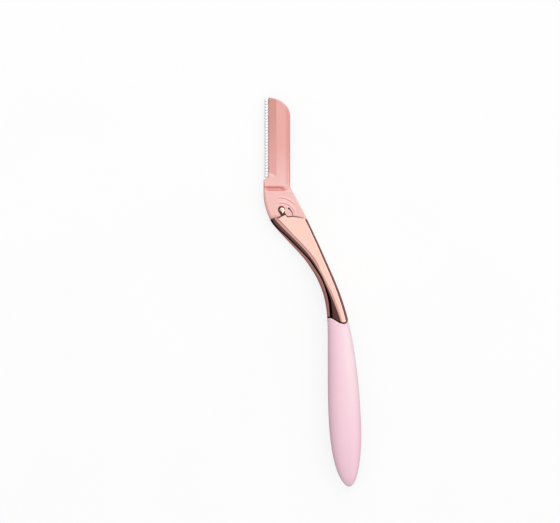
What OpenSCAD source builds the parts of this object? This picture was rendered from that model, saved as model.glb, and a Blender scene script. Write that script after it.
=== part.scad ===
// Eyebrow razor with a push-on blade head, a plated neck and a soft grip.
// It lies face up on a table: +X is across it, +Y runs to the tip of the head and +Z is up.
// Everything is drawn about the latch stud's axis, where it crosses the joint line
// between head and neck, and place() then moves it to the row's origin.

/* [Blade and guard] */
// Length of the cutting edge
blade_len = 30.4; // [27:0.1:34]
// Width of the blade, from its edge to its back
blade_w = 5.2; // [4.8:0.1:5.8]
// Thickness of the blade
blade_t = 0.3; // [0.2:0.02:0.4]
// Width of the ground bevel behind the cutting edge
grind_w = 0.7; // [0.4:0.05:1]
// Number of teeth on the guard
guard_teeth = 27; // [20:1:30]
// Diameter of one guard tooth
tooth_d = 0.82; // [0.75:0.01:0.86]
// Thickness of the guard's sheet
guard_t = 0.16; // [0.12:0.01:0.2]
// Reach of the teeth from the side of the carrier
guard_reach = 1.75; // [1.5:0.05:2.1]
// Width of the guard that the carrier clamps
guard_bite = 0.9; // [0.6:0.05:1.2]
// Distance of the cutting edge behind the noses of the teeth
edge_setback = 0.3; // [0.25:0.01:0.4]
// Diameter of the stakes that hold the blade
stake_d = 1.5; // [1.2:0.05:1.7]
// Height of the stakes above the middle of the blade
stake_h = 0.8; // [0.6:0.05:0.9]
// Distance of the stakes from the back of the blade
stake_inset = 1.4; // [1.2:0.05:1.6]

/* [Blade carrier] */
// Width of the carrier, from the side that holds the guard to its back
carrier_w = 8.2; // [7.6:0.1:9]
// Thickness of the carrier
carrier_t = 3.6; // [3.4:0.05:4]
// Width of the bevelled strip beside the blade
bevel_w = 3; // [2.4:0.1:3.6]
// Depth of the bevelled strip at the blade
bevel_drop = 0.65; // [0.4:0.05:0.75]
// Height of the strip's foot above the foot of the blade
bevel_foot = 1; // [0.6:0.1:2]
// Radius of the carrier's back edges
back_round = 0.9; // [0.5:0.05:1.2]
// Height of the carrier's tip above the end of the blade
tip_over = 0.5; // [0.3:0.05:0.8]
// Flat length at the tip before it rounds over
tip_flat = 1.4; // [1:0.1:2.5]
// Length of the rounded tip
tip_len = 8.5; // [6:0.1:10]

/* [Shoulder of the head] */
// Height of the shoulder, from the joint line to the corner of the heel
shoulder_h = 14.5; // [14:0.1:17]
// Rise of the heel's ledge, from its corner to the foot of the guard
heel_rise = 0.8; // [0.4:0.05:1.2]
// Thickness of the shoulder
shoulder_t = 4.4; // [4.2:0.05:5]
// Length of the joint line, where the head meets the neck
joint_w = 14.3; // [13:0.1:15.5]
// Distance from the stud's axis to the side of the carrier that holds the guard
stud_inset = 5.1; // [4.9:0.05:5.6]
// How far the heel stands out from the side of the carrier
heel_out = 1.95; // [1.8:0.05:2.4]
// How far the heel draws in again at the joint line
heel_in = 2.15; // [1.5:0.05:2.4]
// Height over which the heel draws in
heel_curve_h = 9; // [7:0.1:10]
// Height of the sloping back above the joint line
slope_h = 11.6; // [10.8:0.1:12.5]
// Height of the channel's top edge above the joint line
channel_y = 11.9; // [11.6:0.05:12.6]
// Width of the channel under the carrier
channel_w = 1.5; // [1:0.05:1.8]
// Length of the channel across the head
channel_len = 7.4; // [6:0.1:7.8]
// Depth of the channel
channel_depth = 0.7; // [0.4:0.05:0.9]
// Distance of the channel from the heel
channel_inset = 0.55; // [0.4:0.05:0.8]
// Radius of the outer thumb ridge
ridge_outer_r = 7.5; // [7.2:0.05:7.9]
// Radius of the inner thumb ridge
ridge_inner_r = 5.6; // [5.5:0.05:6]
// Width of a thumb ridge's ramp
ridge_w = 0.75; // [0.5:0.05:0.85]
// Depth of a thumb ridge
ridge_depth = 0.32; // [0.2:0.02:0.45]

/* [Snap joint] */
// Distance of the stud from the joint line
stud_y = 2.65; // [2.4:0.05:2.75]
// Diameter of the stud's shank
shank_d = 0.9; // [0.7:0.05:1]
// Diameter of the stud's cap
cap_d = 2.1; // [1.8:0.05:2.3]
// Length of the cap's point, from the stud's axis towards the neck
cap_point = 1.7; // [1.5:0.05:1.9]
// Height of the stud's cap
cap_h = 0.5; // [0.4:0.05:0.8]
// Bevel round the top of the cap
cap_bevel = 0.25; // [0.15:0.05:0.35]
// Radius of the round end of the keyhole
keyhole_r = 1.3; // [1.1:0.05:1.5]
// Height of the keyhole's centre above the stud's axis
keyhole_rise = 0.35; // [0.2:0.05:0.45]
// Width of the keyhole's throat
throat_w = 1.15; // [1.1:0.01:1.3]
// Width of the keyhole's mouth at the joint line
notch_w = 2.9; // [2.6:0.05:3.4]
// Shift of the mouth from the stud's axis towards the slit
mouth_shift = 0.7; // [0:0.05:0.75]
// Height of the keyhole's mouth
notch_h = 1.5; // [1.3:0.05:1.6]
// Height of the neck's tab in that mouth
tab_h = 1.1; // [0.8:0.05:1.2]
// Radius of the slit that lets the snap finger bend
slit_r = 4.35; // [4.3:0.05:4.6]
// Width of the slit
slit_w = 0.45; // [0.3:0.05:0.55]
// Turn of the slit from the joint line
slit_turn = 56; // [40:1:64]
// Width of the tongue that the head slides onto
tongue_w = 6.4; // [6:0.1:6.8]
// Thickness of the tongue
tongue_t = 1.4; // [1.2:0.05:1.6]
// Length of the tongue beyond the joint line
tongue_len = 8.2; // [7.4:0.1:8.8]
// Corner cut on the tongue's end
tongue_chamfer = 0.8; // [0.4:0.05:1.2]
// Length of the tongue plate's tail inside the neck
tail_len = 12; // [9:0.1:14]
// Width of the tail's end
tail_w = 4.6; // [3.5:0.1:5.4]

/* [Neck] */
// Length of the neck, from the joint line to its lowest point
neck_len = 41.2; // [37:0.1:46]
// Sideways run of the neck's left edge
neck_shift = 22.2; // [19:0.1:25]
// Width of the neck at the grip
neck_end_w = 8.3; // [7.6:0.1:9]
// Thickness of the neck at the grip
neck_end_t = 7.6; // [7.2:0.1:8]
// Bow of the neck's right edge
neck_bow = 1.1; // [0:0.05:1.6]
// Height of the wave where the neck meets the grip
wave_h = 2.9; // [2:0.1:3.2]

/* [Grip] */
// Length of the grip, from the wave's top to its end
grip_len = 65.1; // [58:0.1:75]
// Width of the grip
grip_w = 12.7; // [12:0.1:14]
// Thickness of the grip
grip_t = 10.6; // [10:0.1:12]
// Wall of the soft sleeve
grip_wall = 1.5; // [1.2:0.05:1.7]
// Distance from the wave's top down to the hard core
core_drop = 4.6; // [4:0.1:6]
// Distance from the core's end to the end of the grip
core_end_gap = 2.6; // [2.2:0.1:4]

/* [Inside the grip] */
// Diameter of the neck's tang
tang_d = 3.8; // [3.2:0.05:4]
// Length of the tang below the wave's top
tang_len = 18; // [15:0.1:21]
// Diameter of the pin across the tang
pin_d = 1.5; // [1.2:0.05:1.8]
// Distance of that pin below the wave's top
pin_drop = 11; // [9:0.1:12]
// Diameter of the balance weight
weight_d = 3.8; // [3:0.05:4]
// Length of the balance weight
weight_len = 28; // [20:0.1:30]

/* [Fits] */
// Seam between head and neck, and between neck and grip
seam_gap = 0.1; // [0.06:0.01:0.15]
// Clearance of the parts that slide on each other
slide_gap = 0.1; // [0.06:0.01:0.12]
// Clearance of the parts that stay together
snug_gap = 0.03; // [0.02:0.005:0.05]
// Gap at the end of a blind hole or pocket
end_gap = 0.2; // [0.1:0.02:0.3]

/* [Hidden] */
$fn = 48;
// Overrun of every cut past the face that it opens
over = 1;
// Heights at which the halves of the head and of the grip part
head_z = shoulder_t / 2;
grip_z = grip_t / 2;

// Places across and along the head
carrier_left = -stud_inset;
carrier_right = carrier_w - stud_inset;
crease_x = carrier_left + bevel_w;
heel_left = carrier_left - heel_out;
joint_left = heel_left + heel_in;
joint_right = joint_left + joint_w;
edge_x = carrier_left - guard_reach + edge_setback;
blade_back = edge_x + blade_w;
blade_y = shoulder_h + heel_rise;
head_top = blade_y + blade_len + tip_over;
step_y = channel_y - channel_w;
keyhole_y = stud_y + keyhole_rise;
mouth_left = mouth_shift - notch_w / 2;
mouth_right = mouth_shift + notch_w / 2;
tongue_top = head_z + tongue_t / 2;
stake_x = blade_back - stake_inset;
stake_shares = [0.16, 0.8];
heel_power_share = 1.8;
// Angles where each thumb ridge starts and how far it turns
outer_ridge = [34, 72];
inner_ridge = [16, 88];
tooth_pitch = blade_len / guard_teeth;

// Places along the neck and the grip
wave_top_y = wave_h - neck_len;
grip_x = joint_left + neck_shift;

// The neck's left edge: share of its length, share of its sideways run
neck_left_shares = [
    [0, 0], [0.046, 0.032], [0.085, 0.086], [0.121, 0.144], [0.197, 0.28], [0.272, 0.401], [0.345, 0.532],
    [0.42, 0.644], [0.495, 0.741], [0.57, 0.82], [0.646, 0.885], [0.718, 0.932], [0.794, 0.959],
    [0.869, 0.982], [0.944, 0.995], [1, 1]
];
// The neck's flat face: share of the length, shares of the width where the face starts and ends
face_shares = [
    [0, 0.22, 0.89], [0.085, 0.3, 0.88], [0.272, 0.455, 0.89], [0.42, 0.52, 0.88], [0.57, 0.5, 0.85],
    [0.718, 0.54, 0.84], [0.869, 0.63, 0.84], [1, 0.71, 0.85]
];
// The wave between neck and grip: share of the neck's end width, share of the wave's height
wave_shares = [
    [-0.4, 0.6], [0, 0.72], [0.05, 0.93], [0.096, 1], [0.16, 0.97], [0.235, 0.86], [0.31, 0.7], [0.41, 0.5],
    [0.518, 0.29], [0.6, 0.14], [0.68, 0.035], [0.77, 0], [0.845, 0.06], [0.9, 0.22], [0.94, 0.45],
    [0.97, 0.72], [1.02, 1.02], [1.6, 1.3]
];
// Angles round a quarter of the neck's section
quarter = [0, 18, 36, 54, 72, 90];
// Power of the superellipse of its left flank
flank_power = 1.5;
// The grip's outline as shares of its length and width
mouth_w_share = 0.6;
mouth_t_share = 0.8;
belly_share = 0.6;
swell_power = 2.4;
tip_power = 2.2;
lean_start_share = 0.305;
lean_share = 0.345;
lean_power = 0.72;
section_power = 2.4;
grip_points = 32;
belly_steps = 10;
tip_steps = 9;
tip_last_angle = 88;
// Shares of the grip's length between which the bore is aimed
bore_shares = [0.1, 0.8];

// Smooth rise from 0 to 1
function ease(t) = t * t * (3 - 2 * t);

// The neck at share s of its length
function neck_left(s) = joint_left + neck_shift * lookup(s, neck_left_shares);
function neck_right(s) =
    joint_right + (neck_shift + neck_end_w - joint_w) * s + 4 * neck_bow * s * (1 - s);
function neck_z(s) = head_z + (grip_z - head_z) * ease(s);
function neck_t(s) = shoulder_t + (neck_end_t - shoulder_t) * ease(s);
function face_share(s, column) = lookup(s, [for (row = face_shares) [row[0], row[column]]]);
function face_x(s, column) = neck_left(s) + (neck_right(s) - neck_left(s)) * face_share(s, column);

// The grip at share s of its length: width and thickness swell to the belly and close at the tip
function swell(s, mouth) =
    s < belly_share
        ? 1 - (1 - mouth) * pow(1 - s / belly_share, swell_power)
        : sqrt(max(0, 1 - pow((s - belly_share) / (1 - belly_share), tip_power)));
function grip_width(s) = grip_w * swell(s, mouth_w_share);
function grip_thick(s) = grip_t * swell(s, mouth_t_share);
function grip_centre(s) = grip_x + grip_w * (lean_start_share + lean_share * pow(s, lean_power));
function grip_y(s) = wave_top_y - grip_len * s;
grip_stations = concat(
    [for (i = [0 : belly_steps]) belly_share * i / belly_steps],
    [for (i = [1 : tip_steps]) belly_share + (1 - belly_share) * sin(tip_last_angle * i / tip_steps)]
);
function ring(s, inset) = [
    for (i = [0 : grip_points - 1])
        let (
            a = 360 * (i + 0.5) / grip_points,
            c = cos(a), d = sin(a),
            half_w = grip_width(s) / 2 - inset,
            half_t = grip_thick(s) / 2 - inset
        )
        [
            grip_centre(s) + half_w * sign(c) * pow(abs(c), 2 / section_power),
            grip_y(s),
            grip_z + half_t * sign(d) * pow(abs(d), 2 / section_power)
        ]
];

// The line of the bore down the grip, from the wave's top
bore_from = [grip_centre(bore_shares[0]), grip_y(bore_shares[0])];
bore_to = [grip_centre(bore_shares[1]), grip_y(bore_shares[1])];
bore_turn = atan2(bore_to[0] - bore_from[0], bore_from[1] - bore_to[1]);
bore_top_x = bore_from[0] - (wave_top_y - bore_from[1]) * tan(bore_turn);
core_top_share = core_drop / grip_len;
core_end_share = 1 - core_end_gap / grip_len;
pin_share = pin_drop * cos(bore_turn) / grip_len;

// The row's origin: the middle of the part's footprint on the table
left_most = min(heel_left, carrier_left - guard_reach);
right_most = max([for (s = grip_stations) for (p = ring(s, 0)) p[0]]);
low_end = grip_y(grip_stations[len(grip_stations) - 1]);
module place() {
    translate([-(left_most + right_most) / 2, -(head_top + low_end) / 2, 0])
        children();
}

// Skin over a list of rings with the same number of points
module skin(rings) {
    n = len(rings[0]);
    m = len(rings);
    polyhedron(
        points = [for (r = rings) for (p = r) p],
        faces = concat(
            [[for (i = [0 : n - 1]) i]],
            [
                for (j = [0 : m - 2]) for (i = [0 : n - 1]) for (half = [0, 1])
                    let (a = j * n + i, b = j * n + (i + 1) % n)
                    half == 0 ? [a, a + n, b] : [b, a + n, b + n]
            ],
            [[for (i = [n - 1 : -1 : 0]) (m - 1) * n + i]]
        )
    );
}

// A flat shape in X and Z, drawn out from y0 to y1
module along_y(y0, y1) {
    translate([0, y1, 0])
        rotate([90, 0, 0])
            linear_extrude(y1 - y0)
                children();
}

// A thing on the bore's line, running down the grip from a distance below the wave's top
module down_bore(from) {
    translate([bore_top_x, wave_top_y, grip_z])
        rotate([90, 0, bore_turn])
            translate([0, 0, from])
                children();
}

// Plan of the carrier: the heel's sloping ledge, the straight back and the rounded tip
module carrier_plan() {
    tip_reach = carrier_w - tip_flat;
    polygon(concat(
        [
            [carrier_right, step_y], [heel_left, step_y], [heel_left, shoulder_h],
            [carrier_left, blade_y], [carrier_left, head_top]
        ],
        [
            for (a = [90 : -10 : 0])
                [carrier_right - tip_reach + tip_reach * cos(a), head_top - tip_len + tip_len * sin(a)]
        ]
    ));
}

// Plan of the shoulder: the heel draws in towards the neck and the back slopes out to it
module shoulder_plan() {
    back_step = carrier_right + (joint_right - carrier_right) * (1 - step_y / slope_h);
    polygon(concat(
        [
            for (t = [0 : 0.125 : 1])
                [heel_left + heel_in * pow(1 - t, heel_power_share), heel_curve_h * t]
        ],
        [[heel_left, step_y], [back_step, step_y], [joint_right, 0]]
    ));
}

// Plan of the sloping back above the step, where the shoulder runs out into the carrier
module slope_plan() {
    back_step = carrier_right + (joint_right - carrier_right) * (1 - step_y / slope_h);
    polygon([[crease_x, step_y], [back_step, step_y], [carrier_right, slope_h], [crease_x, slope_h]]);
}

// Section of the carrier's front half, in X and Z above the parting plane
module carrier_section() {
    half = carrier_t / 2;
    polygon(concat(
        [[carrier_left, 0], [carrier_left, half - bevel_drop], [crease_x, half]],
        [
            for (a = [90 : -15 : 0])
                [carrier_right - back_round + back_round * cos(a), half - back_round + back_round * sin(a)]
        ],
        [[carrier_right, 0]]
    ));
}

// Front half of the head's form, on the parting plane
module half_form() {
    bevel_y = blade_y + bevel_foot;
    linear_extrude(shoulder_t / 2)
        shoulder_plan();
    linear_extrude(carrier_t / 2)
        slope_plan();
    intersection() {
        linear_extrude(carrier_t / 2)
            carrier_plan();
        union() {
            along_y(step_y, head_top)
                carrier_section();
            translate([heel_left, step_y, 0])
                cube([crease_x - heel_left, bevel_y - step_y, carrier_t / 2]);
        }
    }
}

// Channel across the head, with a steep upper wall and a sloping lower one
module channel() {
    floor_z = carrier_t / 2 - channel_depth;
    translate([heel_left + channel_inset, 0, 0])
        rotate([90, 0, 90])
            linear_extrude(channel_len)
                polygon([
                    [channel_y, carrier_t / 2 + over], [channel_y, floor_z],
                    [channel_y - channel_w / 2, floor_z], [step_y, carrier_t / 2],
                    [step_y, carrier_t / 2 + over]
                ]);
}

// One thumb ridge: a steep wall outside and a ramp back up towards the stud
module ridge(r, span) {
    top = shoulder_t / 2;
    rotate([0, 0, span[0]])
        rotate_extrude(angle = span[1])
            polygon([
                [r - ridge_w, top], [r, top - ridge_depth], [r, top + over], [r - ridge_w, top + over]
            ]);
}

// What both halves of the head lose to their grip ridges, channel, tongue, blade and guard
module half_cuts() {
    side = tongue_w / 2 + slide_gap;
    sheet_z = blade_t / 2 + guard_t + 2 * snug_gap;
    channel();
    ridge(ridge_outer_r, outer_ridge);
    ridge(ridge_inner_r, inner_ridge);
    translate([-side, -over, -over])
        cube([2 * side, over + tongue_len + end_gap, over + tongue_t / 2 + slide_gap]);
    translate([edge_x - over, blade_y, -over])
        cube([over + blade_w + snug_gap, blade_len + snug_gap, over + blade_t / 2 + snug_gap]);
    translate([carrier_left - over, blade_y, -over])
        cube([over + guard_bite + snug_gap, blade_len + snug_gap, over + sheet_z]);
}

// The keyhole with its throat and mouth, and the slit beside the snap finger
module snap_cuts() {
    translate([0, 0, -over])
        linear_extrude(2 * over + shoulder_t / 2) {
            translate([0, keyhole_y])
                circle(keyhole_r);
            polygon([
                [mouth_left, -over], [mouth_right, -over], [mouth_right, 0], [throat_w / 2, notch_h],
                [throat_w / 2, keyhole_y], [-throat_w / 2, keyhole_y], [-throat_w / 2, notch_h],
                [mouth_left, 0]
            ]);
        }
    rotate_extrude(angle = slit_turn)
        translate([slit_r - slit_w / 2, -over])
            square([slit_w, 2 * over + shoulder_t / 2]);
}

// Places of the two stakes along the blade
module at_stakes() {
    for (share = stake_shares)
        translate([stake_x, blade_y + blade_len * share, 0])
            children();
}

module head_front_shell() {
    color("lightpink")
        place()
            translate([0, 0, head_z])
                difference() {
                    half_form();
                    half_cuts();
                    snap_cuts();
                    at_stakes()
                        translate([0, 0, -over])
                            cylinder(h = over + stake_h + end_gap, d = stake_d + 2 * snug_gap);
                }
}

module head_back_shell() {
    color("lightpink")
        place()
            translate([0, 0, head_z]) {
                mirror([0, 0, 1])
                    difference() {
                        half_form();
                        half_cuts();
                    }
                at_stakes()
                    translate([0, 0, -blade_t - stake_h])
                        cylinder(h = blade_t + 2 * stake_h, d = stake_d);
            }
}

// Stainless blade, ground on both sides, with a hole for each stake
module blade() {
    color("silver")
        place()
            translate([0, 0, head_z])
                difference() {
                    along_y(blade_y + snug_gap, blade_y + blade_len)
                        polygon([
                            [edge_x, 0], [edge_x + grind_w, blade_t / 2], [blade_back, blade_t / 2],
                            [blade_back, -blade_t / 2], [edge_x + grind_w, -blade_t / 2]
                        ]);
                    at_stakes()
                        cylinder(h = 2 * over, d = stake_d + 2 * snug_gap, center = true);
                }
}

// Comb guard: a thin sheet folded over the edge and pressed into round-nosed teeth
module blade_guard() {
    nose_x = carrier_left - guard_reach + tooth_d / 2;
    root_x = carrier_left - slide_gap;
    slot_z = blade_t / 2 + snug_gap;
    color("white")
        place()
            translate([0, 0, head_z])
                difference() {
                    union() {
                        translate([carrier_left - guard_t, blade_y + snug_gap, -slot_z - guard_t])
                            cube([guard_t + guard_bite, blade_len - snug_gap, 2 * (slot_z + guard_t)]);
                        for (i = [0 : guard_teeth - 1])
                            translate([nose_x, blade_y + tooth_pitch * (i + 0.5), 0]) {
                                sphere(d = tooth_d);
                                rotate([0, 90, 0])
                                    cylinder(h = root_x - nose_x, d = tooth_d);
                            }
                    }
                    translate([edge_x - snug_gap, blade_y - over, -slot_z])
                        cube([blade_w, blade_len + 2 * over, 2 * slot_z]);
                }
}

// Outline of the steel plate: the tongue, and a tail that turns with the neck
module plate_plan() {
    tail_share = tail_len / neck_len;
    tail_x = (neck_left(tail_share) + neck_right(tail_share)) / 2;
    polygon([
        [-tongue_w / 2, 0], [-tongue_w / 2, tongue_len - tongue_chamfer],
        [-tongue_w / 2 + tongue_chamfer, tongue_len], [tongue_w / 2 - tongue_chamfer, tongue_len],
        [tongue_w / 2, tongue_len - tongue_chamfer], [tongue_w / 2, 0],
        [tail_x + tail_w / 2, -tail_len], [tail_x - tail_w / 2, -tail_len]
    ]);
}

module tongue_plate() {
    color("rosybrown")
        place()
            translate([0, 0, head_z - tongue_t / 2])
                difference() {
                    linear_extrude(tongue_t)
                        plate_plan();
                    translate([0, stud_y, -over])
                        cylinder(h = tongue_t + 2 * over, d = shank_d);
                }
}

// Plan of the stud's cap: round towards the head and pointed towards the neck
module cap_plan() {
    r = cap_d / 2;
    polygon(concat(
        [for (a = [0 : 15 : 180]) [r * cos(a), r * sin(a)]],
        [[0, -cap_point]]
    ));
}

// Headed stud, pressed into the tongue; its cap stands just clear of the head's front face
module latch_stud() {
    shank_h = shoulder_t - tongue_top + tongue_t + slide_gap;
    low_h = cap_h - cap_bevel;
    color("peachpuff")
        place()
            translate([0, stud_y, tongue_top - tongue_t]) {
                cylinder(h = shank_h + low_h, d = shank_d);
                translate([0, 0, shank_h])
                    linear_extrude(low_h)
                        cap_plan();
                translate([0, 0, shank_h + low_h])
                    linear_extrude(cap_bevel, scale = 1 - 2 * cap_bevel / cap_d)
                        cap_plan();
            }
}

// Ring of the neck at share s: a flat face, a rounded left flank and a steep right one, front and back
function neck_ring(s) =
    let (
        left = neck_left(s), right = neck_right(s), a0 = face_x(s, 1), a1 = face_x(s, 2),
        z = neck_z(s), half = neck_t(s) / 2,
        front = concat(
            [for (a = quarter) [a1 + (right - a1) * cos(a), half * sin(a)]],
            [for (a = quarter) [
                a0 - (a0 - left) * pow(sin(a), 2 / flank_power), half * pow(cos(a), 2 / flank_power)
            ]]
        ),
        back = [for (i = [len(front) - 2 : -1 : 1]) [front[i][0], -front[i][1]]]
    )
    [for (p = concat(front, back)) [p[0], -s * neck_len - seam_gap * (1 - s), z + p[1]]];

// What lies below the wave, moved down by a gap
module below_wave(gap) {
    low_y = grip_y(1) - over;
    left = grip_x + neck_end_w * wave_shares[0][0];
    right = grip_x + neck_end_w * wave_shares[len(wave_shares) - 1][0];
    linear_extrude(grip_t + over)
        polygon(concat(
            [for (p = wave_shares) [grip_x + neck_end_w * p[0], -neck_len + wave_h * p[1] - gap]],
            [[right, low_y], [left, low_y]]
        ));
}

module neck() {
    stations = [for (row = neck_left_shares) row[0]];
    color("darksalmon")
        place()
            difference() {
                union() {
                    difference() {
                        skin([for (s = stations) neck_ring(s)]);
                        below_wave(0);
                    }
                    down_bore(-tang_d)
                        cylinder(h = tang_d + tang_len, d = tang_d);
                    translate([0, 0, tongue_top + slide_gap])
                        linear_extrude(shoulder_t - tongue_top - slide_gap)
                            polygon([
                                [mouth_left + seam_gap, 0], [mouth_left + seam_gap, -tab_h],
                                [mouth_right - seam_gap, -tab_h], [mouth_right - seam_gap, 0],
                                [throat_w / 2 - seam_gap, tab_h], [-throat_w / 2 + seam_gap, tab_h]
                            ]);
                }
                translate([0, 0, head_z - tongue_t / 2])
                    linear_extrude(tongue_t)
                        plate_plan();
                down_bore(pin_drop)
                    rotate([90, 0, 0])
                        cylinder(h = grip_t, d = pin_d + 2 * snug_gap, center = true);
            }
}

// Steel pin through core and tang; the sleeve hides its ends
module tang_pin() {
    color("silver")
        place()
            down_bore(pin_drop)
                rotate([90, 0, 0])
                    cylinder(h = grip_thick(pin_share) - 2 * grip_wall - end_gap, d = pin_d, center = true);
}

// The hard core, inset from the grip's skin
module core_form(inset) {
    inner = [for (s = grip_stations) if (s > core_top_share && s < core_end_share) s];
    skin([for (s = concat([core_top_share], inner, [core_end_share])) ring(s, inset)]);
}

module bored_core() {
    bore_d = max(tang_d, weight_d) + 2 * snug_gap;
    difference() {
        core_form(grip_wall + snug_gap);
        down_bore(0)
            cylinder(h = tang_len + weight_len + 2 * end_gap, d = bore_d);
        down_bore(pin_drop)
            rotate([90, 0, 0])
                cylinder(h = grip_t, d = pin_d + 2 * snug_gap, center = true);
    }
}

// Half of the space, above or below the grip's middle
module half_space(side) {
    reach = grip_len + neck_shift + grip_w;
    translate([0, -reach - core_drop, grip_z + (side > 0 ? snug_gap / 2 : -reach - snug_gap / 2)])
        cube([reach, reach, reach]);
}

module core_front_half() {
    color("whitesmoke")
        place()
            intersection() {
                bored_core();
                half_space(1);
            }
}

module core_back_half() {
    color("whitesmoke")
        place()
            intersection() {
                bored_core();
                half_space(-1);
            }
}

// Steel rod that brings the balance point into the grip
module balance_weight() {
    color("gray")
        place()
            down_bore(tang_len + end_gap)
                cylinder(h = weight_len, d = weight_d);
}

// Soft sleeve over the core, cut to the wave at its mouth
module grip_sleeve() {
    color("pink")
        place()
            difference() {
                intersection() {
                    skin([for (s = grip_stations) ring(s, 0)]);
                    below_wave(seam_gap);
                }
                core_form(grip_wall);
                down_bore(-tang_d)
                    cylinder(h = tang_d + tang_len, d = tang_d + 2 * snug_gap);
            }
}

head_front_shell();
head_back_shell();
blade();
blade_guard();
tongue_plate();
latch_stud();
neck();
tang_pin();
core_front_half();
core_back_half();
balance_weight();
grip_sleeve();
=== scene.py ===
import math

import bmesh
import bpy
import numpy as np
from bpy.props import FloatProperty, FloatVectorProperty, IntProperty, PointerProperty
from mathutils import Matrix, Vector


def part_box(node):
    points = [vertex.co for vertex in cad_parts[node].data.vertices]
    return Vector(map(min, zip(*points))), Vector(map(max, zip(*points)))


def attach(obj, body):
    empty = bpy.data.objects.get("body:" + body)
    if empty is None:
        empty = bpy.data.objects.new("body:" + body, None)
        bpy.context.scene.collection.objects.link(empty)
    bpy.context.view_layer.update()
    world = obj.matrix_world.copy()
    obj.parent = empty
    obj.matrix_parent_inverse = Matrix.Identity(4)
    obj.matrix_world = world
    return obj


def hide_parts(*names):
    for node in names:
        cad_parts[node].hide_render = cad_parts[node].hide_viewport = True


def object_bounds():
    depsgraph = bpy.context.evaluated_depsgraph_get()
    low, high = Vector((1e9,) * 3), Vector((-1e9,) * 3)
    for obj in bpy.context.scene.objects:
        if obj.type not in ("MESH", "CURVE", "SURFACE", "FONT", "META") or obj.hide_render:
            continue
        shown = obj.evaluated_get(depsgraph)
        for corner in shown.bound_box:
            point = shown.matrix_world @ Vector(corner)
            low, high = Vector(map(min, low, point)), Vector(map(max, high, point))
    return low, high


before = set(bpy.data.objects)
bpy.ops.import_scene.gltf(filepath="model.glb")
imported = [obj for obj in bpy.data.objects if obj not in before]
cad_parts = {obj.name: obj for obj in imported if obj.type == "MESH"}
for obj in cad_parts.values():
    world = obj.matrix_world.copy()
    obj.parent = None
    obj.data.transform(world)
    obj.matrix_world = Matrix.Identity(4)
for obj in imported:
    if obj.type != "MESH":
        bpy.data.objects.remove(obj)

bl_info = {
    "name": "Eyebrow Razor",
    "version": (1, 0, 0),
    "blender": (4, 5, 0),
    "location": "View3D > Sidebar > Razor",
    "description": "Dresses an eyebrow razor: moulded head, plated neck, soft grip, guard, blade",
    "category": "Object",
}

MM = 0.001


# Places read from the frame. Shapes are worked out about the joint: the point of the joint line
# between head and neck that lies below the latch stud, on the table.
def cad_box(node):
    """Low and high corner of a CAD node."""
    low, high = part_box(node)
    return np.array(low), np.array(high)


CAD_BOUNDS = [list(corner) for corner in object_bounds()]
JOINT = np.array([
    sum(corner[0] for corner in cad_box("latch_stud")) / 2,
    cad_box("head_back_shell")[0][1],
    0.0,
])
PARTING_Z = cad_box("head_front_shell")[0][2]
HEAD_TOP = cad_box("head_back_shell")[1][1] - JOINT[1]
GRIP_LOW, GRIP_HIGH = (corner - JOINT for corner in cad_box("grip_sleeve"))
GRIP_Z = (GRIP_LOW[2] + GRIP_HIGH[2]) / 2
GRIP_THICK = GRIP_HIGH[2] - GRIP_LOW[2]
PIN_AT = sum(cad_box("tang_pin")) / 2 - JOINT
WEIGHT_AT = sum(cad_box("balance_weight")) / 2 - JOINT
GUARD_LOW, GUARD_HIGH = (corner - JOINT for corner in cad_box("blade_guard"))


# Colours and node trees
def srgb(text):
    """Turns a colour written as sRGB hex into the linear colour that shaders use."""
    parts = [int(text[i:i + 2], 16) / 255 for i in (1, 3, 5)]
    return [c / 12.92 if c <= 0.04045 else ((c + 0.055) / 1.055) ** 2.4 for c in parts] + [1.0]


def add_node(tree, kind, inputs=None, **settings):
    """Adds one node. Settings are its properties, and inputs gives each socket a value, a link,
    or a node whose first output is linked."""
    made = tree.nodes.new(kind)
    for name, value in settings.items():
        setattr(made, name, value)
    for socket, value in (inputs or {}).items():
        if isinstance(value, bpy.types.Node):
            value = value.outputs[0]
        if isinstance(value, bpy.types.NodeSocket):
            tree.links.new(value, made.inputs[socket])
        else:
            made.inputs[socket].default_value = value
    return made


def new_material(name):
    """Starts a material with an empty tree and gives the tree and its Object coordinates."""
    material = bpy.data.materials.new(name)
    material.use_nodes = True
    tree = material.node_tree
    tree.nodes.clear()
    place = add_node(tree, "ShaderNodeTexCoord").outputs["Object"]
    return material, tree, place


def end_material(material, tree, finish, rough=None, relief=None):
    """Ends a material with its shader. Rough is a pattern with the roughness where it is 0 and
    where it is 1. Relief is a pattern with the depth of its bumps in metres and their strength."""
    if rough:
        finish["Roughness"] = add_node(tree, "ShaderNodeMapRange", {
            "Value": rough[0], "To Min": rough[1], "To Max": rough[2]})
    if relief:
        finish["Normal"] = add_node(tree, "ShaderNodeBump", {
            "Height": relief[0], "Distance": relief[1], "Strength": relief[2]})
    shader = add_node(tree, "ShaderNodeBsdfPrincipled", finish)
    add_node(tree, "ShaderNodeOutputMaterial", {"Surface": shader})
    return material


def speckle(tree, place, size, detail=2.0, stretch=(1, 1, 1)):
    """Noise whose features are about size metres across, drawn out along an axis by stretch."""
    spread = add_node(tree, "ShaderNodeMapping", {
        "Vector": place, "Scale": [1 / share for share in stretch]})
    return add_node(tree, "ShaderNodeTexNoise", {
        "Vector": spread, "Scale": 1 / size, "Detail": detail})


def about_joint(tree, place):
    """Places across and up from the joint, and above the parting plane, as three sockets."""
    origin = JOINT[0], JOINT[1], PARTING_Z
    moved = add_node(tree, "ShaderNodeVectorMath", {0: place, 1: origin}, operation="SUBTRACT")
    return add_node(tree, "ShaderNodeSeparateXYZ", {0: moved}).outputs


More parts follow.
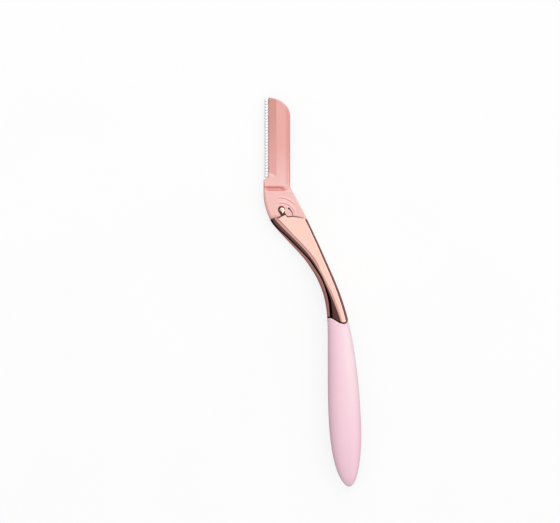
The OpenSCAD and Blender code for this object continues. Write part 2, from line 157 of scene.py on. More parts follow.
def soft_edges(tree, *edges):
    """Smooth factors, one for each edge: 0 where its value is at the first limit or beyond, and 1
    at the second."""
    return [
        add_node(tree, "ShaderNodeMapRange", {
            "Value": value, "From Min": first, "From Max": second,
        }, interpolation_type="SMOOTHSTEP")
        for value, first, second in edges
    ]


def combine(tree, operation, *values):
    """Works out one value from two or three, each a number, a socket or a node."""
    return add_node(tree, "ShaderNodeMath", dict(enumerate(values)), operation=operation)


def lay_over(tree, colour, *coats):
    """Lays coats over a colour in turn. A coat is a factor, a colour and, where it tints what is
    below instead of covering it, the word MULTIPLY."""
    for factor, over, *kind in coats:
        colour = add_node(
            tree, "ShaderNodeMix", {0: factor, 6: colour, 7: over},
            data_type="RGBA", blend_type=kind[0] if kind else "MIX").outputs[2]
    return colour


# Materials
STRIP_FROM, STRIP_TO = 15 * MM, 45 * MM
# How much deeper the strip's edge beside the guard is taken to lie, so that painted shade darkens
# it into a shadow line
GUARD_SHADOW_PAINT_DEPTH = 1.3 * MM


def moulded_styrene(looks, head):
    """Injection-moulded polystyrene, coral: a glossy, faintly uneven skin. Where blade and guard
    lie close under it, it looks darker and browner. Painted shade darkens the face towards its back
    above the channel, the strip's edge beside the guard as a shadow line, and side walls and the
    channel the more, the deeper they lie below the face."""
    material, tree, place = new_material("moulded_coral_styrene")
    x, y, z = about_joint(tree, place)
    guard_side = -head.stud_inset
    crease = guard_side + head.bevel_w
    slope = add_node(tree, "ShaderNodeMapRange", {
        "Value": x, "From Min": crease, "From Max": guard_side})
    up_the_strip = combine(tree, "MULTIPLY_ADD", slope, -FOOT_SLANT, y)
    # The masks towards the back and at the guard's edge place painted shade
    over_blade, above_channel, painted_light_toward_back, past_crease, past_foot, to_top, guard_edge_painted_shadow = soft_edges(
        tree,
        (y, 10.5 * MM, 30 * MM),
        (y, head.channel_y - 2 * MM, head.channel_y + 1 * MM),
        (x, 0.8 * MM, 3.1 * MM),
        (x, crease + 0.1 * MM, crease - 0.1 * MM),
        (up_the_strip, head.strip_foot - 0.3 * MM, head.strip_foot + 0.9 * MM),
        (y, STRIP_FROM, STRIP_TO),
        (x, guard_side + 0.32 * MM, guard_side + 0.12 * MM),
    )
    # Painted shade: the carrier's face darkens towards its back edge, above the channel
    back = combine(tree, "MULTIPLY", painted_light_toward_back, above_channel)
    on_strip = combine(tree, "MULTIPLY", past_crease, past_foot)
    strip = lay_over(tree, looks.strip_foot, (to_top, looks.strip_top))

    # Painted shade in recesses: the deeper a point lies below the shoulder's face, the darker it is
    # painted, and the guard's edge counts deeper still for a painted shadow line
    thinner = (head.shoulder_t - head.carrier_t) / 2
    height = combine(tree, "ABSOLUTE", z)
    for factor, drop in (
            (above_channel, thinner),
            (combine(tree, "MULTIPLY", slope, on_strip), head.bevel_drop),
            (combine(tree, "MULTIPLY", guard_edge_painted_shadow, on_strip), -GUARD_SHADOW_PAINT_DEPTH)):
        height = combine(tree, "MULTIPLY_ADD", factor, drop, height)
    face = head.shoulder_t / 2
    deep, = soft_edges(tree, (height, face - 0.4 * MM, face - 1.3 * MM))

    clouds = speckle(tree, place, 3 * MM)
    colour = lay_over(
        tree, looks.head_shoulder,
        (over_blade, looks.head_carrier),
        # Painted shade towards the back
        (back, srgb("#EDD5D6"), "MULTIPLY"),
        (on_strip, strip),
        # Painted shade on side walls, the channel and the guard's edge
        (deep, srgb("#E6BFBC"), "MULTIPLY"),
        (combine(tree, "MULTIPLY", clouds, 0.05), srgb("#B4604F")))
    flow = speckle(tree, place, 1.4 * MM, stretch=(1, 2.5, 1))
    return end_material(material, tree, {
        "Base Color": colour, "IOR": 1.59, "Coat Weight": 0.6, "Coat Roughness": 0.1,
    }, rough=(clouds, 0.18, 0.26), relief=(flow, 0.008 * MM, 0.5))


def rose_gold_plating(looks):
    """Electroplated ABS, copper under a rose-gold flash: a mirror with the slight orange peel of
    plastic under plating. Its walls in the gaps at the joint and at the sleeve are painted dark
    brown, as painted shade."""
    material, tree, place = new_material("rose_gold_electroplate")
    peel = speckle(tree, place, 2.5 * MM)
    recess = add_node(tree, "ShaderNodeAttribute", attribute_name="recess").outputs["Fac"]
    # The recess points are painted dark brown: painted shade in the gaps at the joint and at the
    # sleeve
    tone = lay_over(
        tree, looks.plating,
        (combine(tree, "MULTIPLY", peel, 0.2), srgb("#F8BFAC")), (recess, srgb("#4A1E1C")))
    return end_material(
        material, tree, {"Base Color": tone, "Metallic": 1.0},
        rough=(peel, 0.05, 0.09), relief=(peel, 0.004 * MM, 0.4))


def champagne_plating(looks):
    """Polished and plated steel stud, paler than the neck: a small bright dome."""
    material, tree, place = new_material("champagne_plated_steel")
    fine = speckle(tree, place, 0.4 * MM)
    return end_material(
        material, tree, {"Base Color": looks.stud, "Metallic": 1.0},
        rough=(fine, 0.12, 0.2), relief=(fine, 0.002 * MM, 0.3))


def soft_touch_rubber(looks):
    """Moulded thermoplastic rubber with a soft-touch skin: matte, with a fine even grain and a
    velvety sheen at the edges. The grain is drawn about twice as coarse as the real one. Towards
    the mouth and the back the pink is paler, a painted highlight. Inside the mouth and the cavity
    it is painted dark brown, as painted shade in the gap round the neck."""
    material, tree, place = new_material("soft_touch_rubber")
    x, y, _ = about_joint(tree, place)
    painted_light_toward_back, painted_sheen_toward_mouth = soft_edges(
        tree, (x, 19.5 * MM, 26.5 * MM), (y, -95 * MM, -40 * MM))
    grain = speckle(tree, place, 0.22 * MM, detail=3.0)
    clouds = speckle(tree, place, 9 * MM)
    painted_gap_shade = add_node(tree, "ShaderNodeAttribute", attribute_name="recess").outputs["Fac"]
    # Painted highlight: paler pink towards the back and the mouth. Painted shade: dark brown inside
    # the mouth and the cavity
    colour = lay_over(
        tree, looks.grip,
        (combine(tree, "MULTIPLY", clouds, 0.1), looks.grip_shade),
        (combine(tree, "MULTIPLY", painted_light_toward_back, painted_sheen_toward_mouth), srgb("#FBE2E8")),
        (painted_gap_shade, srgb("#4A2422")))
    return end_material(material, tree, {
        "Base Color": colour, "IOR": 1.5, "Sheen Weight": 0.12, "Sheen Roughness": 0.5,
    }, rough=(grain, 0.5, 0.62), relief=(grain, 0.012 * MM, 0.35))


def pressed_stainless(looks):
    """Stainless strip, pressed into teeth and tumbled bright: pale, soft-edged reflections."""
    material, tree, place = new_material("pressed_stainless")
    scuff = speckle(tree, place, 0.5 * MM)
    return end_material(
        material, tree, {"Base Color": looks.guard, "Metallic": 0.25},
        rough=(scuff, 0.22, 0.34), relief=(scuff, 0.003 * MM, 0.5))


def ground_steel(name, colour, grit):
    """Steel ground along the razor: fine lines one grit wide that blur reflections across them.
    The lines are drawn several times wider than the real ones, so that they show."""
    material, tree, place = new_material(name)
    lines = speckle(tree, place, grit, stretch=(1, 40, 1))
    tone = lay_over(tree, colour, (combine(tree, "MULTIPLY", lines, 0.35), srgb("#8F8C8C")))
    return end_material(
        material, tree, {"Base Color": tone, "Metallic": 1.0},
        rough=(lines, 0.26, 0.42), relief=(lines, 0.003 * MM, 0.5))


def moulded_abs(looks):
    """Injection-moulded ABS in its natural ivory, with a spark-eroded matte skin."""
    material, tree, place = new_material("moulded_ivory_abs")
    erosion = speckle(tree, place, 0.3 * MM, detail=3.0)
    tone = lay_over(tree, looks.core, (combine(tree, "MULTIPLY", erosion, 0.1), srgb("#C9C3B6")))
    return end_material(
        material, tree, {"Base Color": tone},
        rough=(erosion, 0.5, 0.65), relief=(erosion, 0.01 * MM, 0.4))


# Mesh building
# Points of a piece that are closer than this are merged
MERGE = 0.004 * MM


def smooth(value, low, high):
    """Smooth rise from 0 at low to 1 at high: three times the square less twice the cube."""
    t = np.clip((value - low) / (high - low), 0, 1)
    return t * t * (3 - 2 * t)


def curve_through(at, table, column=1):
    """Smooth curve through a table's points: a cubic between neighbours, whose slope at each
    point is that of the line joining the points beside it."""
    table = np.array(table, float)
    xs, ys = table[:, 0], table[:, column]
    slopes = np.gradient(ys, xs)
    at = np.clip(at, xs[0], xs[-1])
    i = np.clip(np.searchsorted(xs, at, side="right") - 1, 0, len(xs) - 2)
    gap = xs[i + 1] - xs[i]
    t = (at - xs[i]) / gap
    return (
        ys[i] * (1 + 2 * t) * (1 - t) ** 2 + slopes[i] * gap * t * (1 - t) ** 2
        + ys[i + 1] * t * t * (3 - 2 * t) + slopes[i + 1] * gap * t * t * (t - 1)
    )


def ring_faces(rings, columns):
    """Quads between closed rings of points that are stored ring by ring."""
    i, j = np.meshgrid(np.arange(rings - 1), np.arange(columns), indexing="ij")
    here, beside = i * columns + j, i * columns + (j + 1) % columns
    return np.stack([here, beside, beside + columns, here + columns], -1).reshape(-1, 4).tolist()


def closed_tube(rings, columns):
    """Quads between closed rings, and one face over the first ring and one over the last."""
    last = (rings - 1) * columns
    return ring_faces(rings, columns) + [
        list(range(columns)), list(range(last, last + columns))]


def new_piece(name, parts, recess=None):
    """Makes one mesh from a list of (points, faces) about the joint, merges doubles and turns the
    faces outwards. Recess is 1 at points that lie in a gap and 0 elsewhere, and is kept as an
    attribute of the mesh."""
    points, faces, start = [], [], 0
    for part_points, part_faces in parts:
        flat = np.asarray(part_points, float).reshape(-1, 3)
        points.append(flat)
        faces += [[start + int(v) for v in face] for face in part_faces]
        start += len(flat)
    mesh = bpy.data.meshes.new(name)
    mesh.from_pydata((np.concatenate(points) + JOINT).tolist(), [], faces)
    if recess is not None:
        mesh.attributes.new("recess", "FLOAT", "POINT").data.foreach_set("value", recess.ravel())
    work = bmesh.new()
    work.from_mesh(mesh)
    bmesh.ops.remove_doubles(work, verts=work.verts, dist=MERGE)
    bmesh.ops.dissolve_degenerate(work, dist=MERGE / 4, edges=work.edges)
    bmesh.ops.recalc_face_normals(work, faces=work.faces)
    work.to_mesh(mesh)
    work.free()
    piece = bpy.data.objects.new(name, mesh)
    bpy.context.collection.objects.link(piece)
    return piece


def finish_piece(piece, material, body, nodes=(), sharp=30):
    """Gives a piece smooth shading with sharp edges above an angle, its material, and its place:
    the body that it rides on, and the CAD nodes that it stands in for."""
    mesh = piece.data
    mesh.shade_smooth()
    mesh.set_sharp_from_angle(angle=math.radians(sharp))
    mesh.materials.clear()
    mesh.materials.append(material)
    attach(piece, body)
    if nodes:
        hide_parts(*nodes)


def prism(outline, levels):
    """Closed prism over an outline: a ring at each level, which is a height and how far the
    outline moves outwards there along its normals."""
    outline = np.asarray(outline, float)
    along = np.roll(outline, -1, 0) - np.roll(outline, 1, 0)
    along /= np.linalg.norm(along, axis=1, keepdims=True)
    normal = np.stack([along[:, 1], -along[:, 0]], 1)
    count = len(outline)
    rings = [
        np.column_stack([outline + normal * offset, np.full(count, height)])
        for height, offset in levels
    ]
    return np.array(rings), closed_tube(len(levels), count)


def cut(piece, cutters):
    """Takes each cutter out of the piece and leaves the result as the piece's plain mesh."""
    for cutter in cutters:
        modifier = piece.modifiers.new("cut", "BOOLEAN")
        modifier.object = cutter
        modifier.operation = "DIFFERENCE"
        modifier.solver = "EXACT"
        cutter.hide_render = True
    view = bpy.context.evaluated_depsgraph_get()
    mesh = bpy.data.meshes.new_from_object(piece.evaluated_get(view))
    old = piece.data
    piece.modifiers.clear()
    piece.data = mesh
    bpy.data.meshes.remove(old)
    for cutter in cutters:
        old = cutter.data
        bpy.data.objects.remove(cutter)
        bpy.data.meshes.remove(old)


# Sizes and finishes that a user would change
def length(name, description, millimetres):
    """A size property, whose default is given in millimetres."""
    return FloatProperty(
        name=name, description=description, default=millimetres * MM, unit="LENGTH")


def tint(name, description, text):
    """A colour property, whose default is given as sRGB hex."""
    return FloatVectorProperty(
        name=name, description=description, default=srgb(text), size=4, subtype="COLOR",
        min=0, max=1)


class RazorHead(bpy.types.PropertyGroup):
    """Sizes of the moulded head."""
    shoulder_t: length("Shoulder", "Thickness of the shoulder", 4.4)
    carrier_t: length("Carrier", "Thickness of the blade carrier", 3.6)
    carrier_w: length("Carrier width", "Width of the carrier", 8.28)
    stud_inset: length("Stud inset", "From the stud's axis to the carrier's guard side", 5.1)
    joint_w: length("Joint width", "Length of the joint line", 14.3)
    heel_out: length("Heel", "How far the heel stands out from the carrier", 1.95)
    heel_in: length("Heel draw", "How far the heel draws in at the joint line", 2.15)
    shoulder_h: length("Shoulder height", "From the joint line to the heel's corner", 14.5)
    heel_rise: length("Ledge rise", "Rise of the ledge under the guard", 0.8)
    slope_h: length("Back slope", "Height of the sloping back", 11.6)
    tip_len: length("Tip", "Length of the rounded tip", 8.5)
    bevel_w: length("Strip width", "Width of the strip beside the blade", 3.0)
    bevel_drop: length("Strip depth", "Depth of the strip at the blade", 0.65)
    strip_foot: length("Strip foot", "Height of the strip's foot", 15.45)
    channel_y: length("Channel", "Height of the channel's top edge", 11.9)
    channel_w: length("Channel width", "Width of the channel", 1.5)
    channel_depth: length("Channel depth", "Depth of the channel", 1.1)
    rib_h: length("Rib height", "Height of the thumb ribs above the grooves beside them", 0.32)
    back_round: length("Back rounding", "Radius of the carrier's back edge", 0.9)


class RazorNeck(bpy.types.PropertyGroup):
    """Sizes of the plated neck."""
    length: length("Length", "From the joint line to the lowest point", 41.2)
    shift: length("Shift", "Sideways run of the left edge", 22.2)
    end_w: length("End width", "Width at the grip", 8.3)
    end_t: length("End thickness", "Thickness at the grip", 8.2)
    wave_h: length("Wave", "Height of the wave at the grip", 2.9)
    step_w: length("Step", "Width of the small step beside the flat face", 0.19)
    right_flank: length("Right flank", "Width of the dark right flank at the joint", 0.68)


class RazorGrip(bpy.types.PropertyGroup):
    """Sizes of the soft sleeve."""
    width: length("Width", "Width of the grip", 12.7)
    wall: length("Wall", "Wall of the sleeve", 1.5)
    lip: length("Lip", "Rounding of the sleeve's mouth", 0.3)
    core_drop: length("Core drop", "From the wave's top to the core", 4.6)
    core_end_gap: length("Core gap", "From the core's end to the grip's end", 2.6)
    tang_d: length("Tang", "Diameter of the tang", 3.8)


class RazorGuard(bpy.types.PropertyGroup):
    """Sizes of the comb guard."""
    teeth: IntProperty(name="Teeth", description="Number of teeth", default=27, min=10, max=40)
    tooth_w: length("Tooth", "Width of one tooth", 0.96)
    valley_t: length("Valley thickness", "Thickness in the valleys", 0.5)


class RazorLooks(bpy.types.PropertyGroup):
    """Colours of the finishes."""
    head_shoulder: tint("Shoulder", "Coral of the shoulder", "#F8C1BA")
    head_carrier: tint("Carrier", "Coral over the blade", "#ECA8A0")
    strip_foot: tint("Strip foot", "Coral of the strip beside the blade, at its foot", "#EEAAA4")
    strip_top: tint("Strip top", "Coral of the strip beside the blade, at the tip", "#DB988C")
    plating: tint("Plating", "Rose gold of the neck", "#FFD6C8")
    stud: tint("Stud", "Pale plating of the stud", "#F6D3C2")
    grip: tint("Grip", "Pink of the soft sleeve", "#FBD1DF")
    grip_shade: tint("Grip shade", "Deeper pink in the sleeve's clouds", "#E8AABD")
    guard: tint("Guard", "Bright steel of the guard", "#FFFDFD")
    core: tint("Core", "Ivory of the hidden core", "#EDEAE2")


class RazorStage(bpy.types.PropertyGroup):
    """Camera and light."""
    lens: FloatProperty(
        name="Lens", description="Focal length", default=100, unit="CAMERA", min=20, max=300)
    key_power: FloatProperty(
        name="Key", description="Power of the key light in watts", default=1.0, min=0)
    dome: FloatProperty(
        name="Dome", description="Strength of the soft light from all sides", default=0.585,
        min=0)


# Head: outline, height and skin
# The heel's curve: how high it reaches, and its power
HEEL_CURVE_H = 9 * MM
HEEL_POWER = 1.8
# Points over a rim, and across strip and face; and how far the walls draw in at the seam
RIM_STEPS = 8
STRIP_COLUMNS = 44
FACE_COLUMNS = 92
SEAM = 0.05 * MM
# Thumb ribs: centre, radius of the dark inner side, angles at which they fade
RIBS = (
    ((-0.9 * MM, -0.3 * MM), 7.7 * MM, 33, 103),
    ((-0.2 * MM, 0.0), 5.42 * MM, 15, 109),
)
# Across a rib, outwards from its radius: where it starts, is highest and ends; and for the groove
# inside it, where it starts, is deep, begins to end and ends. Then each one's share of the height
RIB_ACROSS = np.array([-0.22, 0.26, 0.85]) * MM
GROOVE_ACROSS = np.array([-0.7, -0.15, -0.22, 0.1]) * MM
RIB_SHARE, GROOVE_SHARE = 0.62, 0.38
# The channel's ends at its top edge, from the heel and from the stud's axis, and how much each
# runs to the right below it; and the share of the depth that its floor has at its foot
CHANNEL_LEFT, CHANNEL_RIGHT = 0.75 * MM, 0.35 * MM
CHANNEL_SLANTS = 0.3, 0.8
CHANNEL_FOOT = 0.77
# How much the carrier's face falls towards its back
CROWN = 0.3 * MM
# The rounded tip's outline, by shares of its length: places across and up, as shares of the
# carrier's width and the tip's height
TIP_ARC = [
    [0, 1, 0], [0.1, 0.999, 0.12], [0.2, 0.988, 0.25], [0.3, 0.96, 0.375], [0.38, 0.918, 0.475],
    [0.46, 0.855, 0.575], [0.55, 0.757, 0.675], [0.64, 0.655, 0.765], [0.73, 0.54, 0.845],
    [0.82, 0.405, 0.905], [0.91, 0.215, 0.958], [1, 0, 1],
]
# How much further up the strip's foot lies at the blade than at the crease
FOOT_SLANT = 1.3 * MM
# The joint line seen from the front: places across, and heights
JOINT_LINE = np.array([
    [-4.9, -0.78], [-4.3, -0.42], [-3.6, -0.07], [-3.0, 0.06], [-2.0, 0.04], [-0.6, 0.0],
    [2.1, 0.25], [4.2, 0.44], [5.8, 0.48], [7.6, 0.28], [8.75, -0.07], [9.4, -0.75],
]) * MM
# How far up the head its points move with the joint line, and how far aside for each rise
JOINT_REACH = 4 * MM
EDGE_LEAN = 0.42
# The gap below the joint line: its usual width, and places across with its widths there
JOINT_GAP = 0.3 * MM
JOINT_GAPS = np.array([
    [-4.9, 0.3], [-0.5, 0.28], [2.5, 0.22], [4.4, 0.26], [5.4, 0.4], [6.3, 0.54], [7.3, 0.6],
    [8.0, 0.56], [8.45, 0.4], [8.85, 0.12], [9.4, 0.08],
]) * MM


def head_height(x, y, head):
    """Height of the head's face above its parting plane. From the shoulder's half thickness a
    lip steps down to the carrier's. To that come the channel, which is a ramp that ends in a
    steep wall; two ribs round the joint, each a smooth steep rise outwards and a longer fall;
    the strip, which slopes down to the blade from a crease; and a crown falling to the back."""
    lip = head.channel_y - head.channel_w
    carrier = head.carrier_t / 2
    shoulder = head.shoulder_t / 2
    height = shoulder + (carrier - shoulder) * smooth(y, lip - 0.6 * MM, lip + 0.05 * MM)

    low = head.channel_y - 0.45 * MM
    foot = lip + 0.25 * MM
    ramp = CHANNEL_FOOT + (1 - CHANNEL_FOOT) * np.clip((y - foot) / (low - foot), 0, 1)
    ramp = ramp * smooth(y, lip - 0.45 * MM, foot)
    wall = 1 - smooth(y, low, head.channel_y + 0.2 * MM)
    below = np.clip(head.channel_y - y, 0, head.channel_w)
    left = CHANNEL_LEFT - head.stud_inset - head.heel_out + CHANNEL_SLANTS[0] * below
    right = CHANNEL_RIGHT + CHANNEL_SLANTS[1] * below
    across = smooth(x, left - 0.1 * MM, left + 0.35 * MM)
    across = across * (1 - smooth(x, right - 1.5 * MM, right + 0.9 * MM))
    height = height - head.channel_depth * ramp * wall * across

    for (cx, cy), radius, start, end in RIBS:
        beyond = np.hypot(x - cx, y - cy) - radius
        angle = np.degrees(np.arctan2(y - cy, x - cx))
        rib = smooth(beyond, *RIB_ACROSS[:2]) * (1 - smooth(beyond, *RIB_ACROSS[1:]))
        groove = smooth(beyond, *GROOVE_ACROSS[:2]) * (1 - smooth(beyond, *GROOVE_ACROSS[2:]))
        along = smooth(angle, start, start + 18) * (1 - smooth(angle, end - 20, end))
        height = height + (RIB_SHARE * rib - GROOVE_SHARE * groove) * head.rib_h * along

    crease = -head.stud_inset + head.bevel_w
    slope = np.clip((crease - x) / head.bevel_w, 0, 1)
    foot = head.strip_foot + FOOT_SLANT * slope
    height = height - head.bevel_drop * slope * smooth(y, foot - 0.3 * MM, foot + 0.6 * MM)
    back = np.clip((x - crease) / (head.carrier_w - head.bevel_w), 0, 1)
    return height - CROWN * back ** 2 * smooth(y, head.channel_y, head.channel_y + 1 * MM)


def joint_line(x):
    """Height of the joint line between head and neck at x."""
    return curve_through(x, JOINT_LINE)


def head_rails(head):
    """Left and right edge of the head from the joint line up, row by row: level rows up to the
    tip, where the right edge runs over the rounded tip to meet the left one at its corner. Gives
    both edges, and the rim's radius beside each."""
    carrier_left = -head.stud_inset
    carrier_right = carrier_left + head.carrier_w
    heel_left = carrier_left - head.heel_out
    ledge_top = head.shoulder_h + head.heel_rise
    straight_top = HEAD_TOP - head.tip_len
    y = np.concatenate([
        np.arange(0, 12.6, 0.1), np.arange(12.6, 18.4, 0.2),
        np.arange(18.4, straight_top / MM, 0.8),
    ]) * MM
    y = np.append(y, [0.08 * MM, head.slope_h, head.shoulder_h, ledge_top, straight_top])
    y = np.unique(np.round(y, 6))
    rise = np.linspace(0, 1, 70)[1:]

    heel_y = np.linspace(0, HEEL_CURVE_H, 60)
    heel_x = heel_left + head.heel_in * (1 - heel_y / HEEL_CURVE_H) ** HEEL_POWER
    left_x = np.interp(
        y, np.append(heel_y, [head.shoulder_h, ledge_top]),
        np.append(heel_x, [heel_left, carrier_left]))
    right_x = np.interp(
        y, [0, head.slope_h], [heel_left + head.heel_in + head.joint_w, carrier_right])

    along = np.linspace(0, 1, 240)
    tip_x = carrier_left + head.carrier_w * curve_through(along, TIP_ARC, 1)
    tip_y = straight_top + head.tip_len * curve_through(along, TIP_ARC, 2)
    run = np.append(0, np.cumsum(np.hypot(np.diff(tip_x), np.diff(tip_y))))
    at = rise * run[-1]
    left = np.concatenate([
        np.column_stack([left_x, y]),
        np.column_stack([np.full(rise.shape, carrier_left), straight_top + rise * head.tip_len]),
    ])
    right = np.concatenate([
        np.column_stack([right_x, y]),
        np.column_stack([np.interp(at, run, tip_x), np.interp(at, run, tip_y)]),
    ])
    rows = left[:, 1]
    left_rim = np.interp(
        rows, np.array([0, 4, 12.5, 14.4, 15.6, 45]) * MM,
        np.array([1.5, 1.2, 0.95, 0.16, 0.24, 0.24]) * MM)
    right_rim = np.interp(
        rows, [0, head.slope_h - 1.5 * MM, head.slope_h + 2 * MM, straight_top, HEAD_TOP - 5 * MM],
        np.array([0.6, 0.6, 1, 0.8, 0.55]) * head.back_round)
    across = 0.4 * np.linalg.norm(right - left, axis=1)
    return left, right, np.minimum(left_rim, across), np.minimum(right_rim, across)


def outward(edge, side):
    """Unit normals of an edge that runs upwards; side is -1 for a left edge, 1 for a right one."""
    along = np.gradient(edge, axis=0)
    along /= np.linalg.norm(along, axis=1, keepdims=True)
    return side * np.column_stack([along[:, 1], -along[:, 0]])


def head_skin(head):
    """Half of the head as a grid, with heights above the parting plane. Each row runs from the
    foot of the left wall, over a quarter-round rim, across the face with a knot on the crease,
    over the right rim and down. At the seam the walls draw in by a hair, and so does the first
    row. Near the joint all points move with the joint line, and aside with the neck's edges."""
    left, right, left_rim, right_rim = head_rails(head)
    left_out, right_out = outward(left, -1), outward(right, 1)
    inner_left = left - left_out * left_rim[:, None]
    inner_right = right - right_out * right_rim[:, None]
    crease = -head.stud_inset + head.bevel_w
    width = inner_right[:, 0] - inner_left[:, 0]
    knot = np.minimum((crease - inner_left[:, 0]) / np.maximum(width, 1e-9), 0.8)
    strip = np.linspace(0, 1, STRIP_COLUMNS)[:-1]
    share = np.concatenate([
        knot[:, None] * strip,
        knot[:, None] + (1 - knot[:, None]) * np.linspace(0, 1, FACE_COLUMNS),
    ], 1)
    face = inner_left[:, None] + (inner_right - inner_left)[:, None] * share[..., None]
    face_z = head_height(face[..., 0], face[..., 1], head)

    turn = np.radians(np.linspace(0, 90, RIM_STEPS + 1)[:-1])
    bend = np.append([0, 0], 1 - np.cos(turn))
    inset = np.append([SEAM, 0], np.zeros(RIM_STEPS))

    def side(edge, out, rim, top):
        """Points of a wall and of the rim above it, from the foot up to the face."""
        xy = edge[:, None] - out[:, None] * (rim[:, None] * bend + inset)[..., None]
        z = top[:, None] - rim[:, None] * (1 - np.sin(turn))
        feet = np.tile([0.0, SEAM], (len(edge), 1))
        return np.concatenate([xy, np.concatenate([feet, z], 1)[..., None]], 2)

    left_side = side(left, left_out, left_rim, face_z[:, 0])
    right_side = side(right, right_out, right_rim, face_z[:, -1])[:, ::-1]
    skin = np.concatenate([left_side, np.concatenate([face, face_z[..., None]], 2), right_side], 1)
    skin[0, 2:-2, 2] -= 0.09 * MM
    edge = RIM_STEPS + 2
    skin[-1, :, :2] = [-head.stud_inset, HEAD_TOP]
    skin[-1, edge:-edge, 2] = skin[-1, edge - 1, 2]
    skin[-1, -edge:, 2] = skin[-1, edge - 1::-1, 2]
    rise = joint_line(skin[..., 0]) * (1 - smooth(skin[..., 1], 0, JOINT_REACH))
    skin[..., 0] -= EDGE_LEAN * rise
    skin[..., 1] += rise
    return skin


# Where the faces of the head's end at the joint meet
JOINT_CENTRE = (2.2 * MM, 0.1 * MM)


def half_shell(head, side):
    """Closed half of the head: the skin, its flat back on the parting plane and its end at the
    joint line. Side is 1 for the front half and -1 for the back one."""
    skin = head_skin(head)
    rows, columns = skin.shape[:2]
    if side < 0:
        skin[..., 2] = np.minimum(skin[..., 2], head.shoulder_t / 2)
    skin[..., 2] = PARTING_Z + side * skin[..., 2]
    centre = np.array([[*JOINT_CENTRE, PARTING_Z + side * head.shoulder_t / 4]])
    points = np.concatenate([skin.reshape(-1, 3), centre])
    end = [[i, (i + 1) % columns, rows * columns] for i in range(columns)]
    return points, ring_faces(rows, columns) + end


def arc(centre, radius, start, end, steps):
    """Points on a circle from one angle in degrees to another."""
    a = np.radians(np.linspace(start, end, steps))
    return np.column_stack([centre[0] + radius * np.cos(a), centre[1] + radius * np.sin(a)])


KEYHOLE_AT = (-0.17 * MM, 3.0 * MM)
KEYHOLE_R = 1.32 * MM
# The keyhole below its round: down the left side to the joint, and up the right side
KEYHOLE_FOOT = np.array([
    [-1.2, 2.0], [-0.46, 0.95], [-0.76, 0], [-0.76, -1.6], [2.36, -1.6], [2.36, 0.1], [1.32, 1.42],
    [1.15, 1.95],
]) * MM
# The neck's tab in the keyhole's mouth, across and up
TAB = np.array([
    [-0.56, -0.2], [-0.4, 0.02], [-0.24, 0.22], [0.1, 0.32], [0.5, 0.47], [0.9, 0.76], [1.2, 0.95],
    [1.34, 0.96], [2.04, 0.14], [2.1, -0.1],
]) * MM
SLIT_R = 4.33 * MM
# Width of the slit at its rounder end and at the joint line
SLIT_W = (0.44 * MM, 0.24 * MM)
SLIT_TURN = 52
SLIT_END_R = 0.36 * MM
# Half heights of the pockets for tongue, guard and blade, and the stakes that hold the blade
TONGUE_HALF = 0.8 * MM
GUARD_HALF = 0.34 * MM
BLADE_HALF = 0.18 * MM
FIT = 0.03 * MM
STAKES = [(-2.75 * MM, 20.16 * MM), (-2.75 * MM, 39.62 * MM)]
STAKE_R = 0.75 * MM
STAKE_H = 0.8 * MM
STAKE_STEPS = 24
# Where the blade's ground edge begins, and the radius of its corner at the tip
BLADE_GRIND = -5.85 * MM
BLADE_CORNER_R = 2.2 * MM


def keyhole_outline():
    """A circle that opens downwards between two crooked sides."""
    return np.concatenate([arc(KEYHOLE_AT, KEYHOLE_R, -26, 208, 52), KEYHOLE_FOOT])


def slit_outline():
    """A narrow band along a circle round the joint, which widens up to a rounder end."""
    middle = arc((0, 0), SLIT_R, -14, SLIT_TURN, 34)
    half = np.interp(np.linspace(-14, SLIT_TURN, 34), [0, SLIT_TURN], SLIT_W[::-1])[:, None] / 2
    cap = arc(middle[-1], SLIT_END_R, SLIT_TURN - 30, SLIT_TURN + 210, 18)
    return np.concatenate([
        middle[:-3] * (1 + half[:-3] / SLIT_R), cap, (middle * (1 - half / SLIT_R))[-4::-1]])


def box_outline(x0, x1, y0, y1):
    """Corners of a box, seen from the front."""
    return np.array([[x0, y0], [x1, y0], [x1, y1], [x0, y1]])


def blade_outline(left, low, grow):
    """The blade's pocket: a box but for its top corner at the back, which is round like the
    blade's own. Grow moves back, top and corner outwards."""
    back, top = (cad_box("blade")[1] - JOINT)[:2] + grow
    radius = BLADE_CORNER_R + grow
    corner = arc((back - radius, top - radius), radius, 0, 90, 14)
    return np.concatenate([[[left, low], [back, low]], corner, [[left, top]]])


def blade_skin():
    """The blade as rows across it, each a thin bar with one end ground to an edge. The back
    follows a quarter circle at the tip, where the bars grow shorter."""
    low, high = (corner - JOINT for corner in cad_box("blade"))
    radius = BLADE_CORNER_R
    turn = np.linspace(0, 90, 14)
    y = np.append(low[1], high[1] - radius * (1 - np.sin(np.radians(turn))))
    back = np.append(high[0], high[0] - radius * (1 - np.cos(np.radians(turn))))
    grind = np.full(y.shape, BLADE_GRIND)
    x = np.stack([np.full(y.shape, low[0]), grind, back, back, grind], 1)
    middle = (low[2] + high[2]) / 2
    z = np.broadcast_to([middle, high[2], high[2], low[2], low[2]], x.shape)
    points = np.stack([x, np.broadcast_to(y[:, None], x.shape), z], -1)
    return points, closed_tube(*x.shape)


def about_parting(half):
    """Levels of a prism that reaches as far above the parting plane as below it."""
    return [(PARTING_Z - half, 0), (PARTING_Z + half, 0)]


def stake_outline(at, grow=0.0):
    """Circle of a stake, or of a hole that is wider than it."""
    return arc(at, STAKE_R + grow, 0, 360 - 360 / STAKE_STEPS, STAKE_STEPS)


